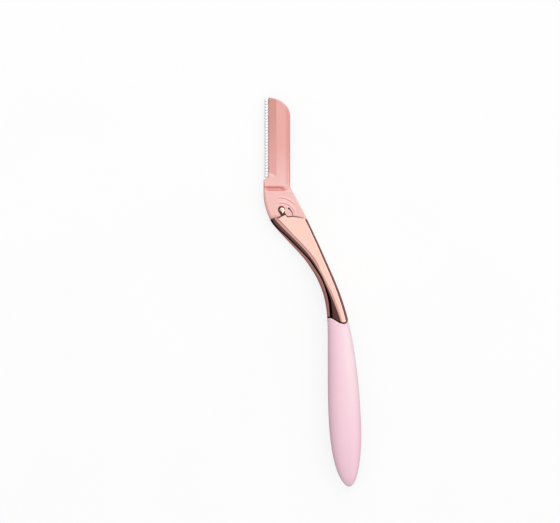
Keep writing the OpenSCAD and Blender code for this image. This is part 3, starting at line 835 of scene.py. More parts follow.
class RAZOR_OT_head(bpy.types.Operator):
    """Makes the front and back shells of the head, with slot, pockets, keyhole and slit cut in"""
    bl_idname = "razor.head"
    bl_label = "Head shells"

    def execute(self, context):
        """Cuts the same pockets into both halves, and the openings into the front one alone."""
        scene = context.scene
        head = scene.razor_head
        material = moulded_styrene(scene.razor_looks, head)
        pocket = GUARD_LOW[0] - 1 * MM, GUARD_LOW[1] - FIT, GUARD_HIGH[1] + FIT
        pockets = [
            (box_outline(-3.3 * MM, 3.3 * MM, -1.4 * MM, 8.4 * MM), about_parting(TONGUE_HALF)),
            (box_outline(pocket[0], GUARD_HIGH[0] + FIT, *pocket[1:]), about_parting(GUARD_HALF)),
            (blade_outline(*pocket[:2], FIT), about_parting(BLADE_HALF)),
        ]
        face = PARTING_Z + head.shoulder_t / 2
        edge = 0.07 * MM
        through = [(PARTING_Z - 1 * MM, 0), (face - edge, 0), (face + edge, 2 * edge)]
        sockets = [(stake_outline(at, FIT), about_parting(STAKE_H + 2 * FIT)) for at in STAKES]
        front = [*pockets, *sockets, (keyhole_outline(), through), (slit_outline(), through)]
        for name, side, cuts in (("head_front", 1, front), ("head_back", -1, pockets)):
            shell = new_piece(name, [half_shell(head, side)])
            cut(shell, [new_piece(f"{name}_cut_{i}", [prism(*c)]) for i, c in enumerate(cuts)])
            finish_piece(shell, material, "head", [f"{name}_shell"], sharp=28)
        stakes = [
            prism(stake_outline(at), [
                (PARTING_Z - BLADE_HALF - FIT, 0), (PARTING_Z + STAKE_H - 3 * FIT, 0),
                (PARTING_Z + STAKE_H, -3 * FIT),
            ]) for at in STAKES]
        finish_piece(new_piece("blade_stakes", stakes), material, "head")
        return {"FINISHED"}


# Guard and blade
# Rows over one tooth, and points round the fold from its angle of start to its nose
TOOTH_STEPS = 16
FOLD_STEPS = 15
FOLD_FROM = 12
# Where the bead begins behind, and where its nose lies in the valleys
BEAD_BACK = -4.97 * MM
VALLEY_NOSE = -6.12 * MM
# The sheet between its back end and the bead: places across, and half thicknesses from its back
# end on
SHEET_X = np.array([-4.86, -4.91, -4.95]) * MM
SHEET_HALF = np.array([0.3, 0.3, 0.2, 0.17]) * MM
# Powers by which the teeth swell and the bead rounds over
TOOTH_POWER = 0.8
BEAD_POWER = 0.7


def guard_skin(guard):
    """The comb as one folded strip. Across the fold, a flat sheet runs out of its pocket, dips
    into a groove, and swells into half of a superellipse whose other half lies below. Along the
    strip its reach and thickness swell to a rounded tooth and drop to a thin valley, by the
    height of a circle over each tooth's width."""
    low_y, high_y = GUARD_LOW[1], GUARD_HIGH[1]
    pitch = (high_y - low_y) / guard.teeth
    share = (np.arange(guard.teeth * TOOTH_STEPS + 1) / TOOTH_STEPS) % 1 - 0.5
    y = np.linspace(low_y, high_y, guard.teeth * TOOTH_STEPS + 1)
    bulge = np.sqrt(np.clip(1 - (share * pitch / (guard.tooth_w / 2)) ** 2, 0, 1))
    bulge = bulge ** TOOTH_POWER
    nose = VALLEY_NOSE + (GUARD_LOW[0] - VALLEY_NOSE) * bulge
    tooth_t = GUARD_HIGH[2] - GUARD_LOW[2]
    half = (guard.valley_t + (tooth_t - guard.valley_t) * bulge) / 2
    turn = np.radians(np.linspace(FOLD_FROM, 180, FOLD_STEPS))
    centre = (BEAD_BACK + nose) / 2
    reach = (BEAD_BACK - nose) / 2
    bead_x = centre[:, None] + reach[:, None] * np.cos(turn)
    bead_z = half[:, None] * np.sin(turn) ** BEAD_POWER
    x = np.concatenate([np.tile([GUARD_HIGH[0], *SHEET_X], (len(y), 1)), bead_x], 1)
    z = np.concatenate([np.tile(SHEET_HALF, (len(y), 1)), bead_z], 1)
    z[:, -1] = 0
    x = np.concatenate([x, x[:, -2::-1]], 1)
    z = np.concatenate([z, -z[:, -2::-1]], 1)
    points = np.stack([x, np.broadcast_to(y[:, None], x.shape), PARTING_Z + z], -1)
    return points, closed_tube(*x.shape)


class RAZOR_OT_guard(bpy.types.Operator):
    """Makes the comb guard and the blade with its ground edge"""
    bl_idname = "razor.guard"
    bl_label = "Guard and blade"

    def execute(self, context):
        """Makes both, and cuts the stakes' holes into the blade."""
        scene = context.scene
        finish_piece(
            new_piece("comb_guard", [guard_skin(scene.razor_guard)]),
            pressed_stainless(scene.razor_looks), "head", ["blade_guard"], sharp=50)
        blade = new_piece("ground_blade", [blade_skin()])
        cut(blade, [
            new_piece(f"blade_hole_{i}", [prism(stake_outline(at, FIT), about_parting(STAKE_H))])
            for i, at in enumerate(STAKES)])
        steel = ground_steel("ground_blade_steel", srgb("#D9D9DC"), 0.06 * MM)
        finish_piece(blade, steel, "head", ["blade"], sharp=3)
        return {"FINISHED"}


def dress(node, material):
    """Gives a CAD node that no new piece stands in for its finish."""
    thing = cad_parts[node]
    thing.data.materials.clear()
    thing.data.materials.append(material)


# Stud
# The nub: radius of its round, its point below, radius of its edge, height of its dome above
# that, and its thickness; and the radius of its shank
STUD_R = 1.05 * MM
STUD_POINT = (0.3 * MM, -1.28 * MM)
STUD_EDGE = 0.12 * MM
STUD_DOME = 0.15 * MM
STUD_T = 0.5 * MM
SHANK_R = 0.45 * MM
# Shares of the outline that the dome's rings have, from its edge to the middle
DOME_SHARES = (0.88, 0.75, 0.6, 0.42, 0.2, 0.02)


def stud_skin():
    """The nub: a low dome over an outline that is round above and pointed below, on a short
    round shank. Rings shrink towards the middle while the dome rises as a parabola."""
    low, high = (corner - JOINT for corner in cad_box("latch_stud"))
    at = np.array([0, high[1] - STUD_R])
    head = arc((0, 0), STUD_R, 0, 180, 25)
    left = np.linspace(head[-1], STUD_POINT, 13)[1:]
    right = np.linspace(STUD_POINT, head[0], 13)[1:-1]
    outline = np.concatenate([head, left, right])
    angle = np.arctan2(outline[:, 1], outline[:, 0])
    shank = SHANK_R * np.column_stack([np.cos(angle), np.sin(angle)])
    under = high[2] - STUD_T
    shoulder = high[2] - STUD_DOME
    rings = [(shank * 0.02, low[2]), (shank, low[2]), (shank, under), (outline * 0.97, under)]
    for turn in np.radians([0, 30, 60]):
        share = 1 - STUD_EDGE / STUD_R * (1 - math.cos(turn))
        rings.append((outline * share, shoulder - STUD_EDGE * (1 - math.sin(turn))))
    for share in DOME_SHARES:
        rings.append((outline * share, high[2] - STUD_DOME * (share / DOME_SHARES[0]) ** 2))
    points = np.array([np.column_stack([xy + at, np.full(len(xy), z)]) for xy, z in rings])
    return points, closed_tube(len(rings), len(outline))


class RAZOR_OT_stud(bpy.types.Operator):
    """Makes the bright stud in the keyhole"""
    bl_idname = "razor.stud"
    bl_label = "Latch stud"

    def execute(self, context):
        """Makes it on the handle's body, which the stud stays on when the head comes off."""
        finish_piece(
            new_piece("stud", [stud_skin()]), champagne_plating(context.scene.razor_looks),
            "handle", ["latch_stud"], sharp=60)
        return {"FINISHED"}


# Neck
# Shares of the neck's sideways run that its left and its right edge have made at shares of its
# length
LEFT_SHARES = [
    [0, 0], [0.024, 0.018], [0.047, 0.043], [0.103, 0.125], [0.178, 0.251], [0.252, 0.38],
    [0.327, 0.51], [0.402, 0.63], [0.477, 0.725], [0.551, 0.809], [0.626, 0.875], [0.701, 0.927],
    [0.776, 0.964], [0.85, 0.988], [0.907, 1], [1, 1.006],
]
RIGHT_SHARES = [
    [0, 0], [0.047, 0.056], [0.103, 0.124], [0.178, 0.212], [0.252, 0.301], [0.327, 0.385],
    [0.402, 0.469], [0.477, 0.553], [0.551, 0.636], [0.626, 0.715], [0.701, 0.789],
    [0.776, 0.856], [0.85, 0.916], [0.907, 0.958], [1, 1.02],
]
# Shares of the width, from the left edge, at which the bright band of the left flank ends, and at
# which the strip beside the face and the face itself begin
BAND_SHARES = [
    [0, 0, 0.125, 0.22], [0.047, 0, 0.16, 0.274], [0.103, 0.012, 0.197, 0.313],
    [0.178, 0.068, 0.246, 0.357], [0.252, 0.097, 0.296, 0.415], [0.327, 0.135, 0.339, 0.47],
    [0.402, 0.175, 0.357, 0.5], [0.477, 0.201, 0.368, 0.476], [0.551, 0.226, 0.374, 0.466],
    [0.626, 0.222, 0.373, 0.494], [0.701, 0.193, 0.413, 0.553], [0.776, 0.179, 0.463, 0.588],
    [0.85, 0.146, 0.523, 0.631], [0.907, 0.129, 0.576, 0.663], [1, 0.11, 0.64, 0.71],
]
# The wave between neck and grip: shares of the neck's end width, and of the wave's height
WAVE_SHARES = [
    [-0.4, 0.6], [0, 0.855], [0.045, 0.9], [0.1, 0.94], [0.15, 0.92], [0.235, 0.84], [0.31, 0.73],
    [0.41, 0.56], [0.5, 0.41], [0.57, 0.3], [0.65, 0.25], [0.74, 0.205], [0.79, 0.21],
    [0.845, 0.24], [0.89, 0.29], [0.94, 0.42], [0.97, 0.58], [1.0, 0.78], [1.04, 1.0], [1.6, 1.3],
]
# Tilts of the facets beside the face, in degrees: step, strip, start and end of the dull flank at
# the joint and at the grip, start and end of the dark flank, and the bands at both outer edges
STEP_TILT = 23
STRIP_TILT = 15
DULL_TILTS = (21.5, 29)
DULL_END_TILTS = (29.3, 30.2)
DARK_TILTS = (34, 43)
BAND_TILT = 46
RIGHT_TILT = 52
# The highest power by which a band at an outer edge may curve
STEEPEST = 8
# Widths of the dark flank and of the face's right edge
DARK_W = 0.8 * MM
FACE_EDGE = 0.14 * MM
# How much wider the right flank is than its named size: at all places, towards the grip, and
# beside the joint
RIGHT_MORE = np.array([0.16, 0.36, 0.16]) * MM
# Rows of the neck and of the part above them that rises into the tab; and repeats after which
# the ends of its columns stand still
NECK_ROWS = 150
TAB_ROWS = 6
REPEATS = 30
# Chamfer at the neck's upper end
NECK_CHAMFER = 0.1 * MM
# Chamfer at the neck's lower end: its length, its tilt in degrees, its least slope on facets that
# are tilted themselves, and the gap between it and the sleeve
END_CHAMFER = 0.4 * MM
END_TILT = 36
END_SLOPE = 0.25
NECK_GAP = 0.1 * MM
# The ledge inside the joint that closes the joint line from below
LEDGE = (0.8 * MM, 0.27 * MM)


def grip_edge(scene):
    """Where the neck's left edge ends and the grip's begins, across the razor."""
    head, neck = scene.razor_head, scene.razor_neck
    return -head.stud_inset - head.heel_out + head.heel_in + neck.shift


def wave(scene, x):
    """Height of the wave between neck and grip at x: a smooth curve through shares of the
    neck's end width and of the wave's height."""
    neck = scene.razor_neck
    share = (x - grip_edge(scene)) / neck.end_w
    return -neck.length + neck.wave_h * curve_through(share, WAVE_SHARES)


def neck_columns():
    """What each column of the neck's ring is made of: its share of each facet, from the middle of
    the right side over the face to the middle of the left side, and its side, front or back.
    Facets in order: right flank, face's edge, face, step, strip, dull and dark flank, band."""
    near_tab = np.arange(0.545, 0.915, 0.006)
    face = np.unique(np.concatenate([np.linspace(0, 1, 40), near_tab]))
    bend = np.array([0.04, 0.2, 0.4, 0.6, 0.8, 0.96, 1])
    flat = np.array([0.1, 0.5, 0.9, 1])
    down = np.array([0.02, 0.08, 0.16, 0.25, 0.35, 0.46, 0.58, 0.7, 0.82, 0.92, 1])
    parts = [1 - down[::-1], [0, 0.25, 0.5, 0.75], face, flat, flat, bend, bend, down]
    table = np.zeros((9, sum(len(part) for part in parts)))
    start = 0
    for i, part in enumerate(parts):
        end = start + len(part)
        table[i, start:end] = part
        table[i, end:] = 1
        start = end
    table[8] = 1
    under = table[:, -2:0:-1].copy()
    under[8] = -1
    return np.concatenate([table, under], 1)


def facet_slope(tilt, run, rise):
    """Slope across the razor that a facet needs to be tilted by an angle, where its edge runs
    sideways by run and its top rises by rise per length: the root of a quadratic."""
    steep = np.tan(np.radians(tilt)) ** 2
    root = np.sqrt(np.maximum((rise * run) ** 2 + (1 + run ** 2) * (steep - rise ** 2), 0))
    return (rise * run + root) / (1 + run ** 2)


def neck_at(scene, s, columns):
    """Place across and height of the neck's skin at shares s of its length. Its edges and facets
    follow smooth curves through tables, its thickness and middle height rise smoothly from the
    joint to the grip, and each facet drops by the integral of its slope."""
    head, neck = scene.razor_head, scene.razor_neck
    right_u, edge_u, face_u, step_u, strip_u, dull_u, dark_u, band_v, side = columns
    joint_left = grip_edge(scene) - neck.shift
    left = joint_left + neck.shift * curve_through(s, LEFT_SHARES)
    right = joint_left + head.joint_w
    right = right + (neck.shift + neck.end_w - head.joint_w) * curve_through(s, RIGHT_SHARES)
    width = right - left
    band_w, flank_w, face_left = (
        width * np.maximum(curve_through(s, BAND_SHARES, i), 0) for i in (1, 2, 3))
    strip_w = np.maximum(face_left - flank_w - neck.step_w, 0.1 * MM)
    dark_w = np.minimum(DARK_W * (1 + 0.35 * smooth(s, 0.5, 0.8)), 0.6 * (flank_w - band_w))
    dull_w = flank_w - band_w - dark_w
    right_w = neck.right_flank + RIGHT_MORE[0] + RIGHT_MORE[1] * s
    right_w = right_w + RIGHT_MORE[2] * (1 - smooth(s, 0, 0.1))

    ease = s * s * (3 - 2 * s)
    middle = PARTING_Z + (GRIP_Z - PARTING_Z) * ease
    growth = (neck.end_t - head.shoulder_t) / 2
    half = head.shoulder_t / 2 + growth * ease
    rise = (GRIP_Z - PARTING_Z + growth) * 6 * s * (1 - s) / neck.length
    near = 0.02
    run = curve_through(s + near, LEFT_SHARES) - curve_through(s - near, LEFT_SHARES)
    run = run * neck.shift / (2 * near * neck.length)
    step_g = facet_slope(STEP_TILT, run, rise)
    strip_g = facet_slope(STRIP_TILT, run, rise)
    step_g = step_g + (strip_g - step_g) * smooth(s, 0.42, 0.52)
    late = smooth(s, 0.55, 0.85)
    dull = [
        facet_slope(tilt + (end - tilt) * late, run, rise)
        for tilt, end in zip(DULL_TILTS, DULL_END_TILTS)]
    dark = [facet_slope(tilt, run, rise) for tilt in DARK_TILTS]
    drop = (
        neck.step_w * step_g * step_u + strip_w * strip_g * strip_u
        + dull_w * (dull[0] * dull_u + (dull[1] - dull[0]) * dull_u ** 2 / 2)
        + dark_w * (dark[0] * dark_u + (dark[1] - dark[0]) * dark_u ** 2 / 2)
    )
    whole = (
        neck.step_w * step_g + strip_w * strip_g + dull_w * (dull[0] + dull[1]) / 2
        + dark_w * (dark[0] + dark[1]) / 2
    )
    band_h = half - whole
    band_run = np.maximum(band_w * facet_slope(BAND_TILT, run, rise), 1e-9)
    power = np.clip(band_h / band_run, 1, STEEPEST)
    right_power = np.clip(half / (right_w * math.tan(math.radians(RIGHT_TILT))), 1, STEEPEST)
    edge_drop = 0.5 * FACE_EDGE
    x = (
        right - right_w * right_u ** right_power - FACE_EDGE * edge_u
        - (width - right_w - FACE_EDGE - face_left) * face_u
        - neck.step_w * step_u - strip_w * strip_u - dull_w * dull_u - dark_w * dark_u
        - band_w * (1 - (1 - band_v) ** power)
    )
    height = (
        half - drop - band_h * band_v
        - edge_drop * (1 - edge_u) ** 2 - (half - edge_drop) * (1 - right_u)
    )
    return x, middle + side * height


def ring_normals(ring):
    """Unit normals of a ring in the plane across the razor, turned inwards."""
    along = np.roll(ring, -1, 0) - np.roll(ring, 1, 0)
    normal = np.column_stack([-along[:, 2], np.zeros(len(ring)), along[:, 0]])
    normal /= np.maximum(np.linalg.norm(normal, axis=1, keepdims=True), 1e-12)
    return normal * np.sign(((ring.mean(0) - ring) * normal).sum())


def inwards(ring, distance):
    """Moves a ring's points inwards along its normals by a distance, or by one for each point."""
    return ring + ring_normals(ring) * np.broadcast_to(distance, len(ring))[:, None]


def end_depth(scene, ring):
    """How far the neck's lower edge draws in over its chamfer, point by point. With the facet's
    own slope and the wave's slant, this tilts each part of the chamfer by the same angle."""
    upright = np.abs(ring_normals(ring)[:, 2])
    own = np.sqrt(np.maximum(1 - upright ** 2, 0)) / np.maximum(upright, 0.1)
    step = 0.05 * MM
    slant = (wave(scene, ring[:, 0] + step) - wave(scene, ring[:, 0] - step)) / (2 * step)
    extra = np.sqrt(np.maximum(math.tan(math.radians(END_TILT)) ** 2 - own ** 2, END_SLOPE ** 2))
    return END_CHAMFER * upright * extra / np.sqrt(1 + slant ** 2)


def neck_skin(scene):
    """The neck as one closed skin, and which of its points lie in a gap. Rows run from the joint
    line, where the face rises into the small tab, to the wave, and each column's ends are found by
    repeated substitution. At the wave the rings draw in along a chamfer, then to the tang, and
    follow it down to its end. At the joint they draw in over a ledge to the middle."""
    neck, grip = scene.razor_neck, scene.razor_grip
    columns = neck_columns()
    count = columns.shape[1]
    top = np.zeros(count)
    end = np.full(count, -neck.length)
    for _ in range(REPEATS):
        x_top = neck_at(scene, np.clip(-top / neck.length, 0, 1), columns)[0]
        top = joint_line(x_top) - curve_through(x_top, JOINT_GAPS)
        low = wave(scene, neck_at(scene, np.clip(-end / neck.length, 0, 1), columns)[0])
        end = (end + low + 0.02 * MM) / 2
    x0, z0 = neck_at(scene, np.clip(-top / neck.length, 0, 1), columns)
    plain = top.copy()
    on_face = (z0 > PARTING_Z + 2 * MM) & (x0 > TAB[0, 0]) & (x0 < TAB[-1, 0])
    top = np.where(on_face, np.maximum(top, np.interp(x0, TAB[:, 0], TAB[:, 1])), top)

    first = np.minimum(plain, -JOINT_GAP) - 0.3 * MM
    lead = np.linspace(0, 1, TAB_ROWS)[:-1, None]
    body = np.linspace(0, 1, NECK_ROWS)[:, None]
    upper = top - NECK_CHAMFER
    y = np.concatenate([upper + (first - upper) * lead, first + (end + END_CHAMFER - first) * body])
    x, z = neck_at(scene, np.clip(-y / neck.length, 0, 1), columns)
    rows = np.stack([x, y, z], -1)

    rim = inwards(rows[0], NECK_CHAMFER)
    rim[:, 1] = top
    under = rim.copy()
    under[:, 2] = np.where(on_face, PARTING_Z + TONGUE_HALF, under[:, 2])
    back = under.copy()
    back[:, 1] = plain
    ledge = inwards(rows[0], LEDGE[0])
    ledge[:, 1] = back[:, 1]
    shelf = ledge.copy()
    shelf[:, 1] += LEDGE[1]
    joint_mid = np.array([x0.mean(), LEDGE[1] - JOINT_GAP, PARTING_Z])
    lid = [joint_mid + (shelf - joint_mid) * share for share in (0.02, 0.5)]
    lid += [shelf, ledge, back, under, rim]

    last = rows[-1]
    depth = end_depth(scene, last)
    foot = []
    for share, more in ((0.04, 0), (0.5, 0), (1, 0), (1, 0.15 * MM)):
        ring = inwards(last, depth * share + more)
        ring[:, 1] = last[:, 1] - END_CHAMFER * share
        foot.append(ring)
    tang = tang_line(end.mean())
    angle = np.arctan2(last[:, 2] - tang[2], last[:, 0] - tang[0])
    circle = grip.tang_d / 2 * np.column_stack([np.cos(angle), np.zeros(count), np.sin(angle)])
    inner = tang + circle
    inner[:, 1] = wave(scene, inner[:, 0]) + 0.02 * MM
    low = tang_line(PIN_AT[1] - 7 * MM)
    foot += [inner, low + circle, low + circle * 0.02]

    points = np.concatenate([np.array(lid), rows, np.array(foot)])
    recess = np.ones((len(points), count))
    recess[len(lid) - 1:len(lid) + len(rows)] = 0
    return points, closed_tube(len(points), count), recess


def tang_line(y):
    """Point of the tang's and the weight's common axis at height y."""
    along = (y - PIN_AT[1]) / (WEIGHT_AT[1] - PIN_AT[1])
    return PIN_AT + (WEIGHT_AT - PIN_AT) * along


class RAZOR_OT_neck(bpy.types.Operator):
    """Makes the plated neck with its tab and tang"""
    bl_idname = "razor.neck"
    bl_label = "Plated neck"

    def execute(self, context):
        """Makes it as one skin, whose gap walls are marked for painted shade in the plating."""
        scene = context.scene
        points, faces, recess = neck_skin(scene)
        finish_piece(
            new_piece("neck_shell", [(points, faces)], recess),
            rose_gold_plating(scene.razor_looks), "handle", ["neck"], sharp=24)
        return {"FINISHED"}


# Grip
# Power of the grip's cross-section
SECTION_POWER = 2.4
# Shares of its width and thickness that the mouth has, and of its length at which the belly lies
MOUTH_W_SHARE = 0.62
MOUTH_T_SHARE = 0.695
BELLY_SHARE = 0.58
# Powers of its swelling from mouth to belly, and the two of the curve from there to the tip
MOUTH_POWER = 1.8
TIP_POWER = 2.4
TIP_ROOT = 0.53
# Share of the full width that the belly has, and the middle of the grip from its left edge at the
# neck, in full widths, by shares of the grip's length
BELLY_W_SHARE = 0.97
GRIP_MIDDLE = [
    [0, 0.303], [0.05, 0.348], [0.1, 0.38], [0.2, 0.425], [0.3, 0.463], [0.4, 0.491], [0.5, 0.515],
    [0.6, 0.539], [0.7, 0.565], [0.8, 0.591], [0.9, 0.622], [0.96, 0.65], [1, 0.669],
]
# Points round the grip and rows along it, which get closer over the last part towards the tip
GRIP_COLUMNS = 128
GRIP_ROWS = 110
CLOSER_FROM = 0.6
# How far round the first point lies, in degrees, so that none is on an axis
FIRST_ANGLE = 0.7


def swell(s, mouth):
    """Share of the full size at share s of the grip's length: up from the mouth's share to 1 at
    the belly by a power law, then down to 0 at the tip along a curve close to a superellipse."""
    rise = 1 - (1 - mouth) * np.clip(1 - s / BELLY_SHARE, 0, 1) ** MOUTH_POWER
    beyond = np.clip((s - BELLY_SHARE) / (1 - BELLY_SHARE), 0, 1)
    return np.where(s < BELLY_SHARE, rise, np.clip(1 - beyond ** TIP_POWER, 0, 1) ** TIP_ROOT)


def grip_point(scene, s, angle, inset=0.0):
    """Point of the grip's skin at share s of its length and an angle round it: a superellipse
    whose half width and half thickness swell along the grip, about a middle that leans."""
    neck, grip = scene.razor_neck, scene.razor_grip
    top = neck.wave_h - neck.length
    run = top - GRIP_LOW[1]
    centre = grip_edge(scene) + grip.width * curve_through(s, GRIP_MIDDLE)
    half_w = grip.width * BELLY_W_SHARE / 2 * swell(s, MOUTH_W_SHARE) - inset
    half_t = GRIP_THICK / 2 * swell(s, MOUTH_T_SHARE) - inset
    c, d = np.cos(angle), np.sin(angle)
    x = centre + half_w * np.sign(c) * np.abs(c) ** (2 / SECTION_POWER)
    z = GRIP_Z + half_t * np.sign(d) * np.abs(d) ** (2 / SECTION_POWER)
    return np.stack(np.broadcast_arrays(x, top - run * s, z), -1)


def grip_skin(scene):
    """The sleeve as a closed shell, and which of its points lie inside. Its outer rows run from
    the wave-shaped mouth to the tip; its lip rounds over, the mouth closes on the tang's hole, and
    the inner rows line the hole and the cavity for the core."""
    neck, grip = scene.razor_neck, scene.razor_grip
    top = neck.wave_h - neck.length
    run = top - GRIP_LOW[1]
    angle = np.radians(np.arange(GRIP_COLUMNS) * 360 / GRIP_COLUMNS + FIRST_ANGLE)[None]
    start = np.zeros((1, GRIP_COLUMNS))
    for _ in range(REPEATS):
        x = grip_point(scene, start, angle)[..., 0]
        start = 0.5 * start + 0.5 * (top - wave(scene, x) + NECK_GAP + grip.lip) / run
    steps = np.linspace(0, 1, GRIP_ROWS)[:, None]
    rest = 1 - CLOSER_FROM
    closer = CLOSER_FROM + rest * np.sin((steps - CLOSER_FROM) / rest * math.pi / 2)
    steps = np.where(steps < CLOSER_FROM, steps, closer)
    outer = grip_point(scene, start + (1 - start) * steps, angle)

    mouth = outer[0]
    lip = []
    for turn in np.radians([90, 65, 40, 20]):
        ring = inwards(mouth, grip.lip * (1 - math.cos(turn)))
        ring[:, 1] = mouth[:, 1] + grip.lip * math.sin(turn)
        lip.append(ring)
    hole = tang_line(top - neck.wave_h / 2)
    circle = (grip.tang_d / 2 + FIT) * np.stack(
        [np.cos(angle[0]), np.zeros(GRIP_COLUMNS), np.sin(angle[0])], -1)
    rim = hole + circle
    rim[:, 1] = wave(scene, rim[:, 0]) - NECK_GAP
    core_top = grip.core_drop / run
    core_end = 1 - grip.core_end_gap / run
    floor = tang_line(top - grip.core_drop) + circle
    floor[:, 1] = top - grip.core_drop
    inside = grip_point(scene, np.linspace(core_top, core_end, 40)[:, None], angle, grip.wall)
    pole = inside[-1].mean(0) + (inside[-1] - inside[-1].mean(0)) * 0.02
    rings = np.concatenate([
        pole[None], inside[::-1], floor[None], rim[None], np.array(lip), outer,
    ])
    recess = np.zeros((len(rings), GRIP_COLUMNS))
    recess[:len(rings) - len(outer) - 2] = 1
    return rings, closed_tube(len(rings), GRIP_COLUMNS), recess


class RAZOR_OT_grip(bpy.types.Operator):
    """Makes the soft sleeve"""
    bl_idname = "razor.grip"
    bl_label = "Soft sleeve"

    def execute(self, context):
        """Makes it as one shell, whose inside is marked for painted shade."""
        scene = context.scene
        points, faces, recess = grip_skin(scene)
        finish_piece(
            new_piece("soft_sleeve", [(points, faces)], recess),
            soft_touch_rubber(scene.razor_looks), "handle", ["grip_sleeve"], sharp=45)
        return {"FINISHED"}


class RAZOR_OT_inside(bpy.types.Operator):
    """Gives the tongue and the pieces inside the handle their finishes"""
    bl_idname = "razor.inside"
    bl_label = "Tongue and inside"

    def execute(self, context):
        """Leaves these solids as they are and only dresses them."""
        looks = context.scene.razor_looks
        # The tongue's dark reddish brown is painted shade, where it shows through the keyhole
        dress("tongue_plate", ground_steel("tongue_painted_shade_steel", srgb("#4A221C"), 0.12 * MM))
        insert = ground_steel("ground_insert_steel", srgb("#C9C2BE"), 0.12 * MM)
        for node in ("tang_pin", "balance_weight"):
            dress(node, insert)
        core = moulded_abs(looks)
        for node in ("core_front_half", "core_back_half"):
            dress(node, core)
        return {"FINISHED"}


# Stage
# The photograph's size in pixels, and how many millimetres of the razor one of them shows
PHOTO_SIZE = (560, 523)
MM_PER_PIXEL = 0.385
# The middle of the razor's box, in pixels of the photograph, and the height of the plane in which
# its scale holds
BOX_MIDDLE_PX = (312.4, 291.6)
SIGHT_Z = 3.5 * MM
# Width of the camera's sensor in millimetres
SENSOR_W = 36
# Half the floor's width, and the key light's diameter and place, in metres
FLOOR_REACH = 3.0
KEY_SIZE = 0.6
KEY_AT = (0.06, 0.5, 0.5)
# What a mirror sees, by degrees from straight up: on the side away from the window, and on the
# window's side
SHADE_SIDE = [
    (0, 1.0), (21.5, 1.0), (26, 0.62), (34, 0.6), (38, 0.3), (43, 0.085), (51, 0.14), (58, 0.1),
    (66, 0.004), (87, 0.004), (90, 0.34), (102, 0.3), (125, 0.2), (155, 0.2), (180, 0.35),
]
WINDOW_SIDE = [
    (0, 1.0), (22, 1.0), (34, 2.2), (78, 2.1), (90, 0.6), (98, 0.2), (150, 0.16), (168, 0.3),
    (180, 0.4),
]
# By how much red, green and blue change in a stop that is nearly black
WARMTH = (0.2, -0.25, -0.2)
UP = (0, 0, 1)
TO_WINDOW = (0.906, 0.423, 0)
# How much brighter the soft light gets towards +X, +Y and up
BRIGHTER = (0.27, 0.3, 0.69)


def light_ramp(tree, degrees, table):
    """Colour ramp over angles: lights stay white, and the darker a stop, the warmer it is."""
    ramp = add_node(tree, "ShaderNodeValToRGB", {0: combine(tree, "DIVIDE", degrees, 180.0)})
    stops = ramp.color_ramp.elements
    while len(stops) < len(table):
        stops.new(0.5)
    for stop, (place, light) in zip(stops, table):
        stop.position = place / 180
        warm = max(1 - light, 0)
        stop.color = [light * (1 + share * warm) for share in WARMTH] + [1]
    return ramp.outputs["Color"]


def studio_world(stage):
    """Soft light for matte surfaces, stronger from the window and from above; a pale backdrop for
    the camera; and for mirrors a studio. It has a white ceiling, a band of paler wall, a dark wall
    down to a black horizon and a grey floor, with a bright window on one side."""
    world = bpy.data.worlds.new("studio")
    world.use_nodes = True
    tree = world.node_tree
    tree.nodes.clear()
    way = add_node(tree, "ShaderNodeTexCoord").outputs["Generated"]

    upwards, to_window, to_bright = (
        add_node(
            tree, "ShaderNodeVectorMath", {0: way, 1: direction}, operation="DOT_PRODUCT",
        ).outputs["Value"]
        for direction in (UP, TO_WINDOW, BRIGHTER))
    degrees = combine(tree, "DEGREES", combine(tree, "ARCCOSINE", upwards))
    side, = soft_edges(tree, (to_window, -0.1, 0.1))
    seen_in_mirror = lay_over(
        tree, light_ramp(tree, degrees, SHADE_SIDE), (side, light_ramp(tree, degrees, WINDOW_SIDE)))
    level = combine(tree, "MULTIPLY", combine(tree, "ADD", to_bright, 1.0), stage.dome)

    mirror = add_node(tree, "ShaderNodeBackground", {"Color": seen_in_mirror, "Strength": 1.0})
    soft = add_node(tree, "ShaderNodeBackground", {"Color": (1, 1, 1, 1), "Strength": level})
    seen = add_node(tree, "ShaderNodeBackground", {"Color": (1, 1, 1, 1), "Strength": 0.98})
    path = add_node(tree, "ShaderNodeLightPath")
    glossy = add_node(tree, "ShaderNodeMixShader", {
        0: path.outputs["Is Glossy Ray"], 1: soft, 2: mirror})
    camera = add_node(tree, "ShaderNodeMixShader", {
        0: path.outputs["Is Camera Ray"], 1: glossy, 2: seen})
    add_node(tree, "ShaderNodeOutputWorld", {"Surface": camera})
    return world


def opal_light_table():
    """Opal acrylic board lit from below, as a soft, even ground that keeps shadows faint."""
    material, tree, place = new_material("opal_light_table")
    mottle = speckle(tree, place, 40 * MM)
    colour = lay_over(tree, srgb("#7A7A7A"), (mottle, srgb("#757575")))
    return end_material(material, tree, {
        "Base Color": colour, "Roughness": 0.9, "Specular IOR Level": 0.1,
        "Emission Color": (1, 1, 1, 1), "Emission Strength": 0.8,
    })


